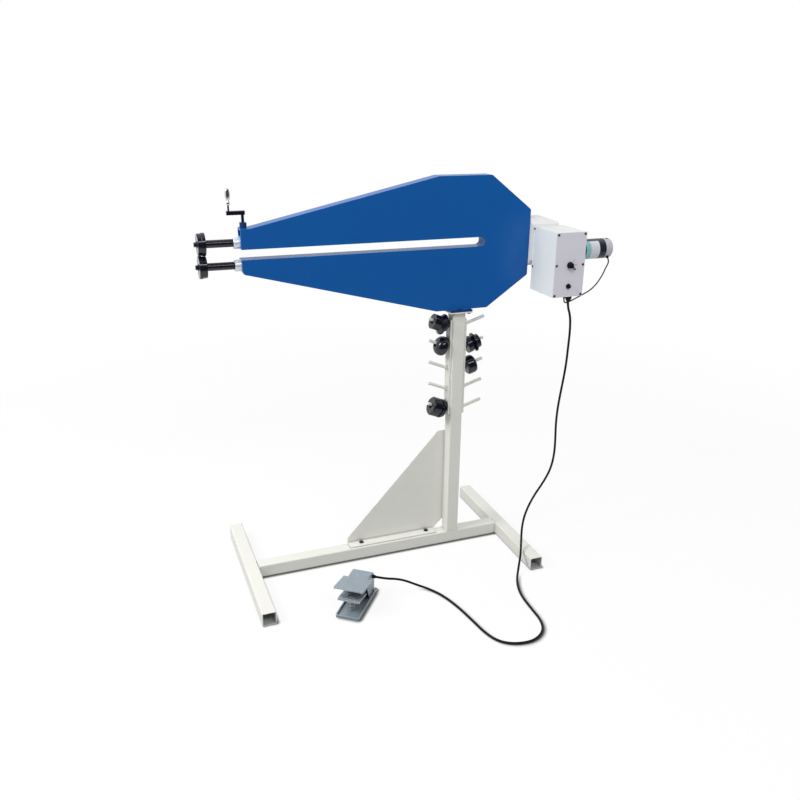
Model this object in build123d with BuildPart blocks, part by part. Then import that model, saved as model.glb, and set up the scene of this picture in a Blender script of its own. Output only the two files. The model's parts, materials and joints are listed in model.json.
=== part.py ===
from build123d import *
import math
import os

os.makedirs("parts", exist_ok=True)

# Electric bead roller: a deep-throat frame on a stand, with two geared roll shafts, a gear motor, a pressure
# crank, a control box, spare dies on pegs and a foot pedal on its cord.
# X runs along the machine from the dies to the motor, Y away from the operator's front side, Z up from the floor.
# The origin is on the floor under the column's axis. All sizes are in millimetres.

# Stand of square tube
tube = 50.8
tube_wall = 3.0
tube_corner = 5.0
foot_length = 660.0
front_foot_x = -830.0
rear_foot_x = 225.0
column_top = 979.0
flange_length = 90.0
flange_width = 90.0
flange_thick = 5.0
foot_plate_thick = 6.0
mount_bolt_dx = 66.0
mount_bolt_dy = 66.0

# Fasteners
bolt_d = 8.0
bolt_head_af = 13.0
bolt_head_height = 5.5
bolt_hole_play = 0.4
gusset_bolt_length = 24.0

# Gusset of bent plate between the column and the beam
gusset_thick = 5.0
gusset_length = 411.0
gusset_height = 437.0
gusset_nose = 30.0
gusset_toe = 26.0
gusset_notch = 42.0
gusset_corner = 12.0
gusset_flange_width = 44.0
gusset_bolt_from_toe = 52.0
gusset_bolt_from_column = 80.0

# Peg racks on the column's sides
rack_thick = 8.0
rack_width = 40.0
rack_length = 380.0
rack_top = 950.0
peg_d = 12.0
peg_length = 84.0
peg_collar_d = 17.0
peg_collar = 6.0
left_peg_tilt = 22.0
right_peg_tilt = 17.0
peg_count = 5
first_peg_drop = 24.0
last_peg_rise = 18.0
peg_nose = 1.5

# Throat frame: two side plates, an edge band and a slot liner
throat = 1016.0
body_thick = 54.0
plate_thick = 5.0
band_thick = 6.0
liner_thick = 4.0
roll_height = 248.0
slot_end_x = 91.0
jaw_x = -798.5
jaw_top_cover = 47.5
jaw_bottom_cover = 27.0
jaw_top_length = 32.0
crown_front_x = -95.0
crown_rear_x = 109.0
crown_rise = 236.0
tail_end_x = 274.0
tail_end_rise = 109.0
tail_end_drop = 133.0
jaw_top_bend = 60.0
jaw_chin = 12.0
tail_corner = 9.0

# Bearing blocks and bushes at the jaws
block_length = 50.0
block_web = 3.45
block_cap = 4.45
bush_wall = 4.0
collar_d = 40.0
collar_length = 22.0
slide_play = 0.3
run_play = 0.05
rear_run_play = 0.1
fit_play = 0.02
loose_play = 0.1
shaft_hole_play = 5.0

# Shafts, dies and gears
shaft_pitch = 75.0
shaft_d = 26.0
nose_d = 22.0
journal_d = 25.0
die_length = 26.0
die_step = 2.0
die_gap = 1.0
die_step_gap = 2.0
die_chamfer = 1.0
die_bolt_head_af = 14.0
die_bolt_head = 8.0
die_washer_d = 20.0
die_washer = 2.0
die_bolt_d = 10.0
die_bolt_length = 24.0
gear_teeth = 30
gear_width = 22.0
gear_thinning = 0.35
gear_pressure_angle = 20.0
gear_tip_factor = 1.0
gear_root_factor = 1.3
gear_room = 1.0

# Gear case, bearings, gearhead and motor
case_length = 105.0
case_wall = 2.5
case_roof_start = 51.0
case_roof_drop = 0.335
case_front_wall = 6.0
gear_from_case = 28.0
bridge_thick = 20.0
bridge_from_end = 14.0
bearing_d = 52.0
bearing_width = 15.0
upper_shaft_tail = 6.0
lower_shaft_tail = 40.0
motor_drop = 19.5
gearhead_size = 86.0
gearhead_corner = 14.0
gearhead_flange = 8.0
gearhead_length = 61.0
motor_d = 78.0
motor_length = 173.0
motor_cap_length = 33.0
motor_cap_round = 9.0
motor_lead_inset = 21.0
motor_lead_angle = 45.0
motor_spigot_d = 60.0
motor_spigot = 3.0

# Pressure screw and crank
screw_x = -784.5
screw_d = 10.0
screw_lift = 12.0
collar_nut_af = 22.0
collar_nut_height = 18.0
collar_nut_play = 0.3
pad_d = 18.0
pad_thick = 6.0
pad_recess = 4.0
crank_rise = 43.0
crank_thick = 13.0
crank_reach = 44.5
crank_width = 16.0
crank_corner = 3.0
spindle_d = 6.0
spindle_length = 58.0
grip_gap = 19.0
grip_length = 53.0
grip_d = 17.5
grip_ball_d = 12.5
grip_ball_foot_d = 9.0
grip_neck_d = 8.6
grip_shoulder_d = 13.0
grip_dome = 4.0
grip_play = 0.1

# Control box with panel, selector, fuse and glands
box_from_tail = 8.0
box_width = 123.0
box_depth = 162.5
box_height = 233.0
box_above_foot = 63.0
box_wall = 2.0
box_lip = 13.0
panel_thick = 2.0
panel_screw_inset = 7.0
panel_screw_d = 4.0
panel_screw_head_d = 9.0
panel_screw_head = 3.2
panel_screw_length = 9.0
selector_d = 22.0
selector_bezel_d = 24.0
selector_bezel = 3.0
selector_block = 36.0
selector_depth = 46.0
knob_d = 19.0
knob_height = 10.0
knob_handle_length = 21.0
knob_handle_width = 6.0
knob_handle_height = 9.0
knob_angle = -45.0
knob_stem_d = 9.0
fuse_drop = 77.0
fuse_d = 12.0
fuse_bezel_d = 19.0
fuse_bezel = 2.5
fuse_depth = 38.0
fuse_cap_d = 13.0
fuse_cap_height = 7.0
fuse_slot = 1.6
board_width = 84.0
board_height = 130.0
board_thick = 2.0
board_standoff = 12.0
board_standoff_d = 8.0
board_part_height = 26.0
gland_foot = 2.5
gland_stub_d = 10.0
gland_stub = 8.0
gland_rib = 0.6
gland_rib_count = 3
pedal_gland_d = 21.0
pedal_gland_length = 15.0
pedal_gland_inset = (78.0, 16.0)
lead_gland_d = 15.0
lead_gland_length = 12.0
lead_gland_inset = (71.0, 34.0)
motor_gland_d = 11.0
motor_gland_length = 7.0
pedal_side_gland_d = 15.0
pedal_side_gland_length = 10.0

# Cords
pedal_cord_d = 8.5
pedal_cord_lead = 38.0
floor_gap = 0.5
lead_d = 5.0
lead_lead = 16.0

# Foot pedal, in its own frame: from the toe end back, with the long axis turned from X
pedal_x = -568.0
pedal_y = -390.0
pedal_turn = 52.2
pedal_width = 88.0
pedal_length = 200.0
pedal_floor = 4.0
pedal_rim = 7.0
pedal_rim_wall = 4.0
pedal_corner = 8.0
pedal_ear_d = 22.0
pedal_ear_hole_d = 7.0
pedal_ear_u = 203.0
pedal_ear_v = 36.0
hood_width = 74.0
hood_wall = 3.5
hood_top = 100.0
hood_back = 192.0
hood_toe_low = 140.0
hood_toe_high = 100.0
hood_round = 36.0
visor_width = 108.0
visor_front = 13.0
visor_back = 115.0
visor_rise = 16.0
visor_thick = 4.0
visor_skirt = 9.0
visor_corner = 5.0
treadle_width = 62.0
treadle_toe_width = 84.0
treadle_toe_back = 92.0
treadle_front = 19.0
treadle_front_top = 68.0
treadle_thick = 5.0
treadle_lip = 3.0
treadle_rib = 1.2
treadle_rib_width = 3.0
treadle_rib_count = 6
treadle_rib_pitch = 11.0
treadle_first_rib = 8.0
hinge_u = 160.0
hinge_z = 46.0
hinge_barrel_d = 17.0
hinge_pin_d = 8.0
spring_u = 56.0
spring_radius = 9.0
spring_wire = 2.8
spring_turns = 4
spring_seat_gap = 0.3
switch_u = 128.0
switch_size = (28.0, 20.0, 16.0)
switch_plunger_d = 6.0
switch_plunger = 21.0
pedal_gland_u = 174.0
pedal_gland_z = 78.0

# Spare dies on the pegs
spare_bore_d = 22.1
spare_gap = 0.3

# Heights and places that follow from the sizes above
half_tube = tube / 2
body_bottom = column_top + flange_thick + foot_plate_thick
roll_mid_z = body_bottom + roll_height
upper_z = roll_mid_z + shaft_pitch / 2
lower_z = roll_mid_z - shaft_pitch / 2
motor_z = lower_z - motor_drop
jaw_top_z = upper_z + jaw_top_cover
jaw_bottom_z = lower_z - jaw_bottom_cover
bush_r = shaft_d / 2 + run_play + bush_wall
slot_half = shaft_pitch / 2 - bush_r - block_web
inner_half = body_thick / 2 - plate_thick
die_mid_x = slot_end_x - throat
shoulder_x = die_mid_x + die_length / 2
nose_x = die_mid_x - die_length / 2
block_back_x = jaw_x + block_length
block_bottom_z = roll_mid_z + slot_half
block_top_z = upper_z + bush_r + block_cap
gear_module = shaft_pitch / gear_teeth
pitch_r = shaft_pitch / 2
tip_r = pitch_r + gear_tip_factor * gear_module
case_radius = tip_r + gear_room + case_wall
case_end_x = tail_end_x + case_length
bridge_x = case_end_x - bridge_from_end - bridge_thick
bearing_x = bridge_x + bridge_thick / 2
gear_x = tail_end_x + gear_from_case
gearhead_end_x = case_end_x + gearhead_length
motor_end_x = gearhead_end_x + motor_length
box_x = tail_end_x + box_from_tail
box_mid_x = box_x + box_width / 2
box_front_y = -case_radius - box_depth
box_bottom_z = body_bottom + box_above_foot
box_top_z = box_bottom_z + box_height
box_mid_z = box_bottom_z + box_height / 2
panel_front_y = box_front_y - panel_thick
panel_face = Plane.XZ.offset(-panel_front_y)
fuse_z = box_mid_z - fuse_drop
rack_face_x = half_tube + rack_thick
first_peg_z = rack_top - first_peg_drop
peg_pitch = (rack_length - first_peg_drop - last_peg_rise) / (peg_count - 1)
peg_tilt = {-1: math.radians(left_peg_tilt), 1: math.radians(right_peg_tilt)}
pedal_gland_at = (box_x + pedal_gland_inset[0], box_front_y + pedal_gland_inset[1])
lead_gland_at = (box_x + lead_gland_inset[0], box_front_y + lead_gland_inset[1])
pedal_plane = Plane((pedal_x, pedal_y, 0), z_dir=(0, 0, 1)).rotated((0, 0, pedal_turn))
pedal_side = Plane(pedal_plane.origin, x_dir=pedal_plane.x_dir, z_dir=-pedal_plane.y_dir)


def keep(piece, name):
    """Labels a finished piece and writes it as its own file."""
    piece.part.label = name
    export_step(piece.part, f"parts/{name}.step")


def tube_section():
    """Draws the stand's square tube in the open sketch."""
    inside = tube - 2 * tube_wall
    RectangleRounded(tube, tube, tube_corner)
    RectangleRounded(inside, inside, tube_corner - tube_wall, mode=Mode.SUBTRACT)


def turned(axis_z, profile):
    """Turns a profile of (x, radius) points about a shaft axis that runs along X at the given height."""
    with BuildSketch(Plane.XZ) as half:
        with BuildLine():
            Polyline(*[(x, axis_z + radius) for x, radius in profile], close=True)
        make_face()
    revolve(half.sketch, axis=Axis((0, 0, axis_z), (1, 0, 0)))


def round_bar(plane, spots, radius, length, mode=Mode.ADD):
    """Adds or cuts round bars that start on a plane at the spots and run along its normal."""
    with BuildSketch(plane) as section:
        with Locations(*spots):
            Circle(radius)
    extrude(section.sketch, amount=length, mode=mode)


def hex_bar(plane, spots, across_flats, length):
    """Adds six-sided bars on a plane, sized across the flats, with two flats square to the plane's first axis."""
    with BuildSketch(plane) as section:
        with Locations(*spots):
            RegularPolygon(across_flats / 2, 6, major_radius=False, rotation=30)
    extrude(section.sketch, amount=length)


# Stand: two foot tubes, the beam between them and the column on the beam
gusset_toe_x = -half_tube - gusset_length
gusset_bolt_y = half_tube - gusset_flange_width / 2
gusset_bolts = [
    (gusset_toe_x + gusset_bolt_from_toe, gusset_bolt_y),
    (-half_tube - gusset_bolt_from_column, gusset_bolt_y),
]
bolt_hole_r = bolt_d / 2 + bolt_hole_play
mount_bolts = [
    (x * mount_bolt_dx / 2, y * mount_bolt_dy / 2) for x in (-1, 1) for y in (-1, 1)
]

for foot_name, foot_x in (("front_foot_tube", front_foot_x), ("rear_foot_tube", rear_foot_x)):
    with BuildPart() as foot_tube:
        with BuildSketch(Plane.XZ.offset(foot_length / 2)):
            with Locations((foot_x, half_tube)):
                tube_section()
        extrude(amount=-foot_length)
    keep(foot_tube, foot_name)

with BuildPart() as base_beam:
    with BuildSketch(Plane.YZ.offset(front_foot_x + half_tube)):
        with Locations((0, half_tube)):
            tube_section()
    extrude(amount=rear_foot_x - front_foot_x - tube)
    round_bar(Plane.XY.offset(half_tube), gusset_bolts, bolt_hole_r, tube, Mode.SUBTRACT)
keep(base_beam, "base_beam")

with BuildPart() as column:
    with BuildSketch(Plane.XY.offset(tube)):
        tube_section()
    extrude(amount=column_top - tube)
keep(column, "column")

# Column flange and the body's foot plate, bolted together
for plate_name, plate_z, thick in (
    ("column_flange", column_top, flange_thick),
    ("foot_plate", column_top + flange_thick, foot_plate_thick),
):
    with BuildPart() as mount_plate:
        with BuildSketch(Plane.XY.offset(plate_z)):
            RectangleRounded(flange_length, flange_width, tube_corner)
            with Locations(*mount_bolts):
                Circle(bolt_hole_r, mode=Mode.SUBTRACT)
        extrude(amount=thick)
    keep(mount_plate, plate_name)

# Gusset: a web flush with the rear of the beam and column, with a flange bent forward on the beam
web_top = tube + gusset_height
web_corners = [
    (-half_tube, web_top),
    (-half_tube - gusset_nose, web_top),
    (gusset_toe_x, tube + gusset_toe),
    (gusset_toe_x, tube),
    (-half_tube - gusset_notch, tube),
    (-half_tube, tube + gusset_notch),
]
with BuildPart() as gusset_plate:
    with BuildSketch(Plane.XZ.offset(-half_tube)):
        with BuildLine():
            FilletPolyline(*web_corners, radius=[0, gusset_corner, gusset_corner, 0, 0, 0], close=True)
        make_face()
    extrude(amount=gusset_thick)
    with BuildSketch(Plane.XY.offset(tube)):
        with Locations((gusset_toe_x, half_tube)):
            Rectangle(gusset_length - gusset_notch, gusset_flange_width, align=(Align.MIN, Align.MAX))
    extrude(amount=gusset_thick)
    round_bar(Plane.XY.offset(tube), gusset_bolts, bolt_hole_r, gusset_thick, Mode.SUBTRACT)
keep(gusset_plate, "gusset_plate")

# Bolts of the body mount, up through the flange into the foot plate, and of the gusset
mount_grip = foot_plate_thick + flange_thick
gusset_seat = tube + gusset_thick
with BuildPart() as frame_bolts:
    hex_bar(Plane.XY.offset(column_top), mount_bolts, bolt_head_af, -bolt_head_height)
    round_bar(Plane.XY.offset(column_top), mount_bolts, bolt_d / 2, mount_grip)
    hex_bar(Plane.XY.offset(gusset_seat), gusset_bolts, bolt_head_af, bolt_head_height)
    round_bar(Plane.XY.offset(gusset_seat), gusset_bolts, bolt_d / 2, -gusset_bolt_length)
keep(frame_bolts, "frame_bolts")

# Peg racks: a flat bar on each side of the column with collared pegs that tilt up
def peg_plane(side, number):
    """The plane square to a peg where it leaves its bar; side is -1 for the die end and 1 for the motor end."""
    root = (side * rack_face_x, 0, first_peg_z - number * peg_pitch)
    return Plane(root, x_dir=(0, 1, 0), z_dir=(side * math.cos(peg_tilt[side]), 0, math.sin(peg_tilt[side])))


peg_root = rack_thick / 2
with BuildPart() as peg_racks:
    for side in (-1, 1):
        with BuildSketch(Plane.YZ.offset(side * half_tube)):
            with Locations((0, rack_top - rack_length / 2)):
                Rectangle(rack_width, rack_length)
        extrude(amount=side * rack_thick)
        for number in range(peg_count):
            peg = peg_plane(side, number)
            round_bar(peg.offset(-peg_root), [(0, 0)], peg_collar_d / 2, peg_root + peg_collar)
            round_bar(peg.offset(peg_collar), [(0, 0)], peg_d / 2, peg_length - peg_collar)
            peg_end = peg.origin + peg.z_dir * peg_length
            chamfer(faces().filter_by(peg).sort_by_distance(peg_end)[0].edges(), peg_nose)
keep(peg_racks, "peg_racks")

# Throat frame outline, from the upper jaw round the tail to the lower jaw
outline = [
    (jaw_x, jaw_top_z),
    (jaw_x + jaw_top_length, jaw_top_z),
    (crown_front_x, roll_mid_z + crown_rise),
    (crown_rear_x, roll_mid_z + crown_rise),
    (tail_end_x, roll_mid_z + tail_end_rise),
    (tail_end_x, roll_mid_z - tail_end_drop),
    (crown_rear_x, body_bottom),
    (crown_front_x, body_bottom),
    (jaw_x, jaw_bottom_z),
]
outline_rounds = [0, jaw_top_bend] + 6 * [tail_corner] + [jaw_chin]


def frame_outline():
    """Draws the outside of the throat frame, with its mouth closed, in the open sketch."""
    with BuildLine() as edge:
        FilletPolyline(*outline, radius=outline_rounds, close=True)
    make_face(edge.edges())


def throat_slot(half, mode=Mode.ADD):
    """Draws the throat slot at a half height in the open sketch, from the jaws to its round end."""
    with BuildLine() as edge:
        Polyline((slot_end_x - slot_half, roll_mid_z + half), (jaw_x, roll_mid_z + half),
                 (jaw_x, roll_mid_z - half), (slot_end_x - slot_half, roll_mid_z - half))
        ThreePointArc((slot_end_x - slot_half, roll_mid_z - half), (slot_end_x - slot_half + half, roll_mid_z),
                      (slot_end_x - slot_half, roll_mid_z + half))
    make_face(edge.edges(), mode=mode)


for plate_name, plate_y in (("front_side_plate", body_thick / 2), ("rear_side_plate", -inner_half)):
    with BuildPart() as side_plate:
        with BuildSketch(Plane.XZ.offset(plate_y)):
            frame_outline()
            throat_slot(slot_half, Mode.SUBTRACT)
        extrude(amount=-plate_thick)
    keep(side_plate, plate_name)

# Edge band between the plates, open at the jaw ends, with holes for the screw and the shafts
mouth_top_z = jaw_top_z - band_thick
mouth_bottom_z = lower_z - collar_d / 2
with BuildPart() as outer_band:
    with BuildSketch(Plane.XZ.offset(inner_half)):
        frame_outline()
        offset(amount=-band_thick, mode=Mode.SUBTRACT)
        with Locations((jaw_x, mouth_bottom_z)):
            Rectangle(3 * band_thick, mouth_top_z - mouth_bottom_z, align=(Align.CENTER, Align.MIN),
                      mode=Mode.SUBTRACT)
    extrude(amount=-2 * inner_half)
    round_bar(Plane.XY.offset(mouth_top_z), [(screw_x, 0)], screw_d / 2 + 1, band_thick, Mode.SUBTRACT)
    round_bar(Plane.YZ.offset(tail_end_x), [(0, upper_z), (0, lower_z)], shaft_d / 2 + shaft_hole_play,
              -band_thick, Mode.SUBTRACT)
keep(outer_band, "outer_band")

# Liner that closes the frame along the throat slot
with BuildPart() as slot_liner:
    with BuildSketch(Plane.XZ.offset(inner_half)):
        throat_slot(slot_half + liner_thick)
        throat_slot(slot_half, Mode.SUBTRACT)
        with Locations((jaw_x, roll_mid_z)):
            Rectangle(block_length + slide_play, 3 * slot_half, align=(Align.MIN, Align.CENTER),
                      mode=Mode.SUBTRACT)
    extrude(amount=-2 * inner_half)
keep(slot_liner, "slot_liner")

# Bearing blocks in the jaws, the lower one welded in, the upper one sliding between the plates
with BuildPart() as lower_bearing_block:
    with BuildSketch(Plane.YZ.offset(jaw_x)):
        with Locations((0, mouth_bottom_z)):
            Rectangle(2 * inner_half, roll_mid_z - slot_half - mouth_bottom_z, align=(Align.CENTER, Align.MIN))
        with Locations((0, lower_z)):
            Circle(bush_r + fit_play, mode=Mode.SUBTRACT)
    extrude(amount=block_length)
keep(lower_bearing_block, "lower_bearing_block")

with BuildPart() as upper_bearing_block:
    with BuildSketch(Plane.YZ.offset(jaw_x)):
        with Locations((0, block_bottom_z)):
            Rectangle(2 * (inner_half - slide_play), block_top_z - block_bottom_z,
                      align=(Align.CENTER, Align.MIN))
        with Locations((0, upper_z)):
            Circle(bush_r + fit_play, mode=Mode.SUBTRACT)
    extrude(amount=block_length)
keep(upper_bearing_block, "upper_bearing_block")

# Flanged bushes: a sleeve in each block and a bright collar outside the jaw
for bush_name, bush_z in (("lower_front_bush", lower_z), ("upper_front_bush", upper_z)):
    bore_r = shaft_d / 2 + run_play
    collar_x = jaw_x - collar_length
    with BuildPart() as front_bush:
        turned(bush_z, [
            (collar_x, bore_r), (collar_x, collar_d / 2 - die_chamfer), (collar_x + die_chamfer, collar_d / 2),
            (jaw_x, collar_d / 2), (jaw_x, bush_r), (block_back_x, bush_r), (block_back_x, bore_r),
        ])
    keep(front_bush, bush_name)

# Roll shafts: a nose for the die, a long plain shaft and a rear journal
for shaft_name, shaft_z, shaft_end in (
    ("upper_shaft", upper_z, bridge_x + bridge_thick + upper_shaft_tail),
    ("lower_shaft", lower_z, case_end_x + lower_shaft_tail),
):
    journal_x = bridge_x - die_chamfer
    with BuildPart() as roll_shaft:
        turned(shaft_z, [
            (nose_x, 0), (nose_x, nose_d / 2), (shoulder_x, nose_d / 2), (shoulder_x, shaft_d / 2),
            (journal_x, shaft_d / 2), (journal_x, journal_d / 2), (shaft_end, journal_d / 2), (shaft_end, 0),
        ])
        round_bar(Plane.YZ.offset(nose_x), [(0, shaft_z)], die_bolt_d / 2 + fit_play, die_bolt_length,
                  Mode.SUBTRACT)
    keep(roll_shaft, shaft_name)

# Step dies: the upper one is larger behind its step, the lower one in front of it
die_small = (shaft_pitch - die_step - die_gap) / 2
die_large = die_small + die_step
die_bore = nose_d / 2 + fit_play
half_gap = die_step_gap / 2
for die_name, die_z, front_r, rear_r, step_x in (
    ("upper_die", upper_z, die_small, die_large, die_mid_x + half_gap),
    ("lower_die", lower_z, die_large, die_small, die_mid_x - half_gap),
):
    with BuildPart() as step_die:
        turned(die_z, [
            (nose_x, die_bore), (nose_x, front_r - die_chamfer), (nose_x + die_chamfer, front_r),
            (step_x, front_r), (step_x, rear_r), (shoulder_x - die_chamfer, rear_r),
            (shoulder_x, rear_r - die_chamfer), (shoulder_x, die_bore),
        ])
    keep(step_die, die_name)

# Bolts that hold the dies on the shaft noses
for bolt_name, bolt_z in (("upper_die_bolt", upper_z), ("lower_die_bolt", lower_z)):
    with BuildPart() as die_bolt:
        round_bar(Plane.YZ.offset(nose_x), [(0, bolt_z)], die_washer_d / 2 + die_chamfer, -die_washer)
        hex_bar(Plane.YZ.offset(nose_x - die_washer), [(0, bolt_z)], die_bolt_head_af, -die_bolt_head)
        round_bar(Plane.YZ.offset(nose_x), [(0, bolt_z)], die_bolt_d / 2, die_bolt_length)
    keep(die_bolt, bolt_name)

# Spur gears, one to one, whose pitch circles touch midway between the shafts
root_r = pitch_r - gear_root_factor * gear_module
base_r = pitch_r * math.cos(math.radians(gear_pressure_angle))


def involute(radius):
    """The involute function at a radius, taken as zero inside the base circle."""
    angle = math.acos(min(1, base_r / radius))
    return math.tan(angle) - angle


def tooth_half(radius):
    """Half a tooth's thickness at a radius."""
    at_pitch = (math.pi * gear_module / 2 - gear_thinning) / (2 * pitch_r)
    return radius * (at_pitch + involute(pitch_r) - involute(radius))


flank = [(r, tooth_half(r)) for r in (root_r - gear_module / 2, base_r, pitch_r, tip_r)]
for gear_name, gear_z, gear_phase in (
    ("upper_gear", upper_z, 180 / gear_teeth),
    ("lower_gear", lower_z, 0),
):
    with BuildPart() as spur_gear:
        with BuildSketch(Plane.YZ.offset(gear_x).shift_origin((gear_x, 0, gear_z))):
            Circle(root_r)
            with PolarLocations(0, gear_teeth, start_angle=90 + gear_phase):
                Polygon(*flank, *[(r, -h) for r, h in reversed(flank)], align=None)
            Circle(shaft_d / 2 + fit_play, mode=Mode.SUBTRACT)
        extrude(amount=gear_width)
    keep(spur_gear, gear_name)

# Gear case on the frame's tail: an eight-sided cup over the gears, its roof sloping down to the gearhead's flange
case_roof_x = tail_end_x + case_roof_start
case_side = math.tan(math.pi / 8)


def case_form(radius, start_x, length):
    """A length of the gear case's form, whose sides stay one radius from the axes of upper roll and motor."""
    half = radius * case_side
    top_z = upper_z + radius
    low_z = motor_z - radius
    end_x = start_x + length
    with BuildPart() as form:
        with BuildSketch(Plane.YZ.offset(start_x)):
            Polygon((half, top_z), (-half, top_z), (-radius, upper_z + half), (-radius, motor_z - half),
                    (-half, low_z), (half, low_z), (radius, motor_z - half), (radius, upper_z + half), align=None)
        extrude(amount=length)
        with BuildSketch(Plane.XZ):
            Polygon((case_roof_x, top_z), (end_x, top_z - case_roof_drop * (end_x - case_roof_x)),
                    (end_x, top_z), align=None)
        extrude(amount=radius, both=True, mode=Mode.SUBTRACT)
    return form.part


case_shell = case_form(case_radius, tail_end_x, case_length)
case_room = case_form(case_radius - case_wall, tail_end_x + case_front_wall, case_length)
with BuildPart() as gear_case:
    add(case_shell)
    add(case_room, mode=Mode.SUBTRACT)
    round_bar(Plane.YZ.offset(tail_end_x), [(0, upper_z), (0, lower_z)], shaft_d / 2 + shaft_hole_play,
              case_front_wall, Mode.SUBTRACT)
keep(gear_case, "gear_case")

# Bearing bridge across the case, with round seats for two bearings that align themselves to the shafts
bearing_r = bearing_d / 2
bearing_spots = [(bearing_x, 0, upper_z), (bearing_x, 0, lower_z)]
bridge_form = case_form(case_radius - case_wall - loose_play, bridge_x, bridge_thick)
with BuildPart() as bearing_bridge:
    add(bridge_form)
    with Locations(*bearing_spots):
        Sphere(bearing_r + loose_play, mode=Mode.SUBTRACT)
keep(bearing_bridge, "bearing_bridge")

with BuildPart() as rear_bearings:
    with Locations(*bearing_spots):
        Sphere(bearing_r)
    with Locations((bearing_x, 0, roll_mid_z)):
        Box(bearing_width, 2 * bearing_d, shaft_pitch + 2 * bearing_d, mode=Mode.INTERSECT)
    round_bar(Plane.YZ.offset(bearing_x - bearing_width), [(0, upper_z), (0, lower_z)],
              journal_d / 2 + rear_run_play, 2 * bearing_width, Mode.SUBTRACT)
keep(rear_bearings, "rear_bearings")

# Gearhead with its flange on the case, and the motor behind it, below the shaft's line
flange_form = case_form(case_radius, case_end_x, gearhead_flange)
with BuildPart() as gearhead:
    add(flange_form)
    with BuildSketch(Plane.YZ.offset(case_end_x + gearhead_flange)):
        with Locations((0, motor_z)):
            RectangleRounded(gearhead_size, gearhead_size, gearhead_corner)
    extrude(amount=gearhead_length - gearhead_flange)
    round_bar(Plane.YZ.offset(case_end_x), [(0, lower_z)], journal_d / 2 + rear_run_play,
              lower_shaft_tail + 1, Mode.SUBTRACT)
keep(gearhead, "gearhead")

motor_r = motor_d / 2
with BuildPart() as motor_body:
    round_bar(Plane.YZ.offset(gearhead_end_x), [(0, motor_z)], motor_r, motor_length)
    round_bar(Plane.YZ.offset(motor_end_x), [(0, motor_z)], motor_spigot_d / 2, motor_spigot)
keep(motor_body, "motor_body")

lead_turn = math.radians(motor_lead_angle)
lead_out = (0, -math.sin(lead_turn), -math.cos(lead_turn))
motor_gland_plane = Plane((motor_end_x + motor_cap_length - motor_lead_inset, 0, motor_z), x_dir=(1, 0, 0),
                          z_dir=lead_out).offset(motor_r - gland_rib)
with BuildPart() as motor_end_cap:
    round_bar(Plane.YZ.offset(motor_end_x), [(0, motor_z)], motor_r, motor_cap_length)
    fillet(edges().filter_by(GeomType.CIRCLE).sort_by(Axis.X)[-1], motor_cap_round)
    round_bar(motor_gland_plane, [(0, 0)], motor_gland_d / 2 + fit_play, motor_gland_length, Mode.SUBTRACT)
    round_bar(motor_gland_plane, [(0, 0)], lead_d / 2 + fit_play, -gland_stub, Mode.SUBTRACT)
    round_bar(Plane.YZ.offset(motor_end_x), [(0, motor_z)], motor_spigot_d / 2 + fit_play, motor_spigot,
              Mode.SUBTRACT)
keep(motor_end_cap, "motor_end_cap")

# Pressure screw: a nut on the jaw, the screw and the pad it presses on the upper block
pad_z = block_top_z + slide_play
screw_end_z = pad_z + pad_thick - pad_recess
crank_z = jaw_top_z + crank_rise
with BuildPart() as screw_collar:
    hex_bar(Plane.XY.offset(jaw_top_z), [(screw_x, 0)], collar_nut_af, collar_nut_height)
    round_bar(Plane.XY.offset(jaw_top_z), [(screw_x, 0)], screw_d / 2 + collar_nut_play, collar_nut_height,
              Mode.SUBTRACT)
    chamfer(faces().sort_by(Axis.Z)[-1].outer_wire().edges(), die_chamfer)
keep(screw_collar, "screw_collar")

with BuildPart() as pressure_screw:
    round_bar(Plane.XY.offset(screw_end_z), [(screw_x, 0)], screw_d / 2, crank_z + crank_thick - screw_end_z)
keep(pressure_screw, "pressure_screw")

with BuildPart() as thrust_pad:
    round_bar(Plane.XY.offset(pad_z), [(screw_x, 0)], pad_d / 2, pad_thick)
    round_bar(Plane.XY.offset(screw_end_z), [(screw_x, 0)], screw_d / 2 + run_play, pad_recess, Mode.SUBTRACT)
keep(thrust_pad, "thrust_pad")

# Crank arm, a flat bar with a fixed spindle, and the grip that turns on it
spindle_x = screw_x - crank_reach
arm_top_z = crank_z + crank_thick
with BuildPart() as crank_arm:
    with BuildSketch(Plane.XY.offset(crank_z)):
        with Locations((screw_x - crank_reach / 2, 0)):
            RectangleRounded(crank_reach + crank_width, crank_width, crank_corner)
        with Locations((screw_x, 0)):
            Circle(screw_d / 2 + fit_play, mode=Mode.SUBTRACT)
    extrude(amount=crank_thick)
    round_bar(Plane.XY.offset(arm_top_z), [(spindle_x, 0)], spindle_d / 2, spindle_length)
keep(crank_arm, "crank_arm")

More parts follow.
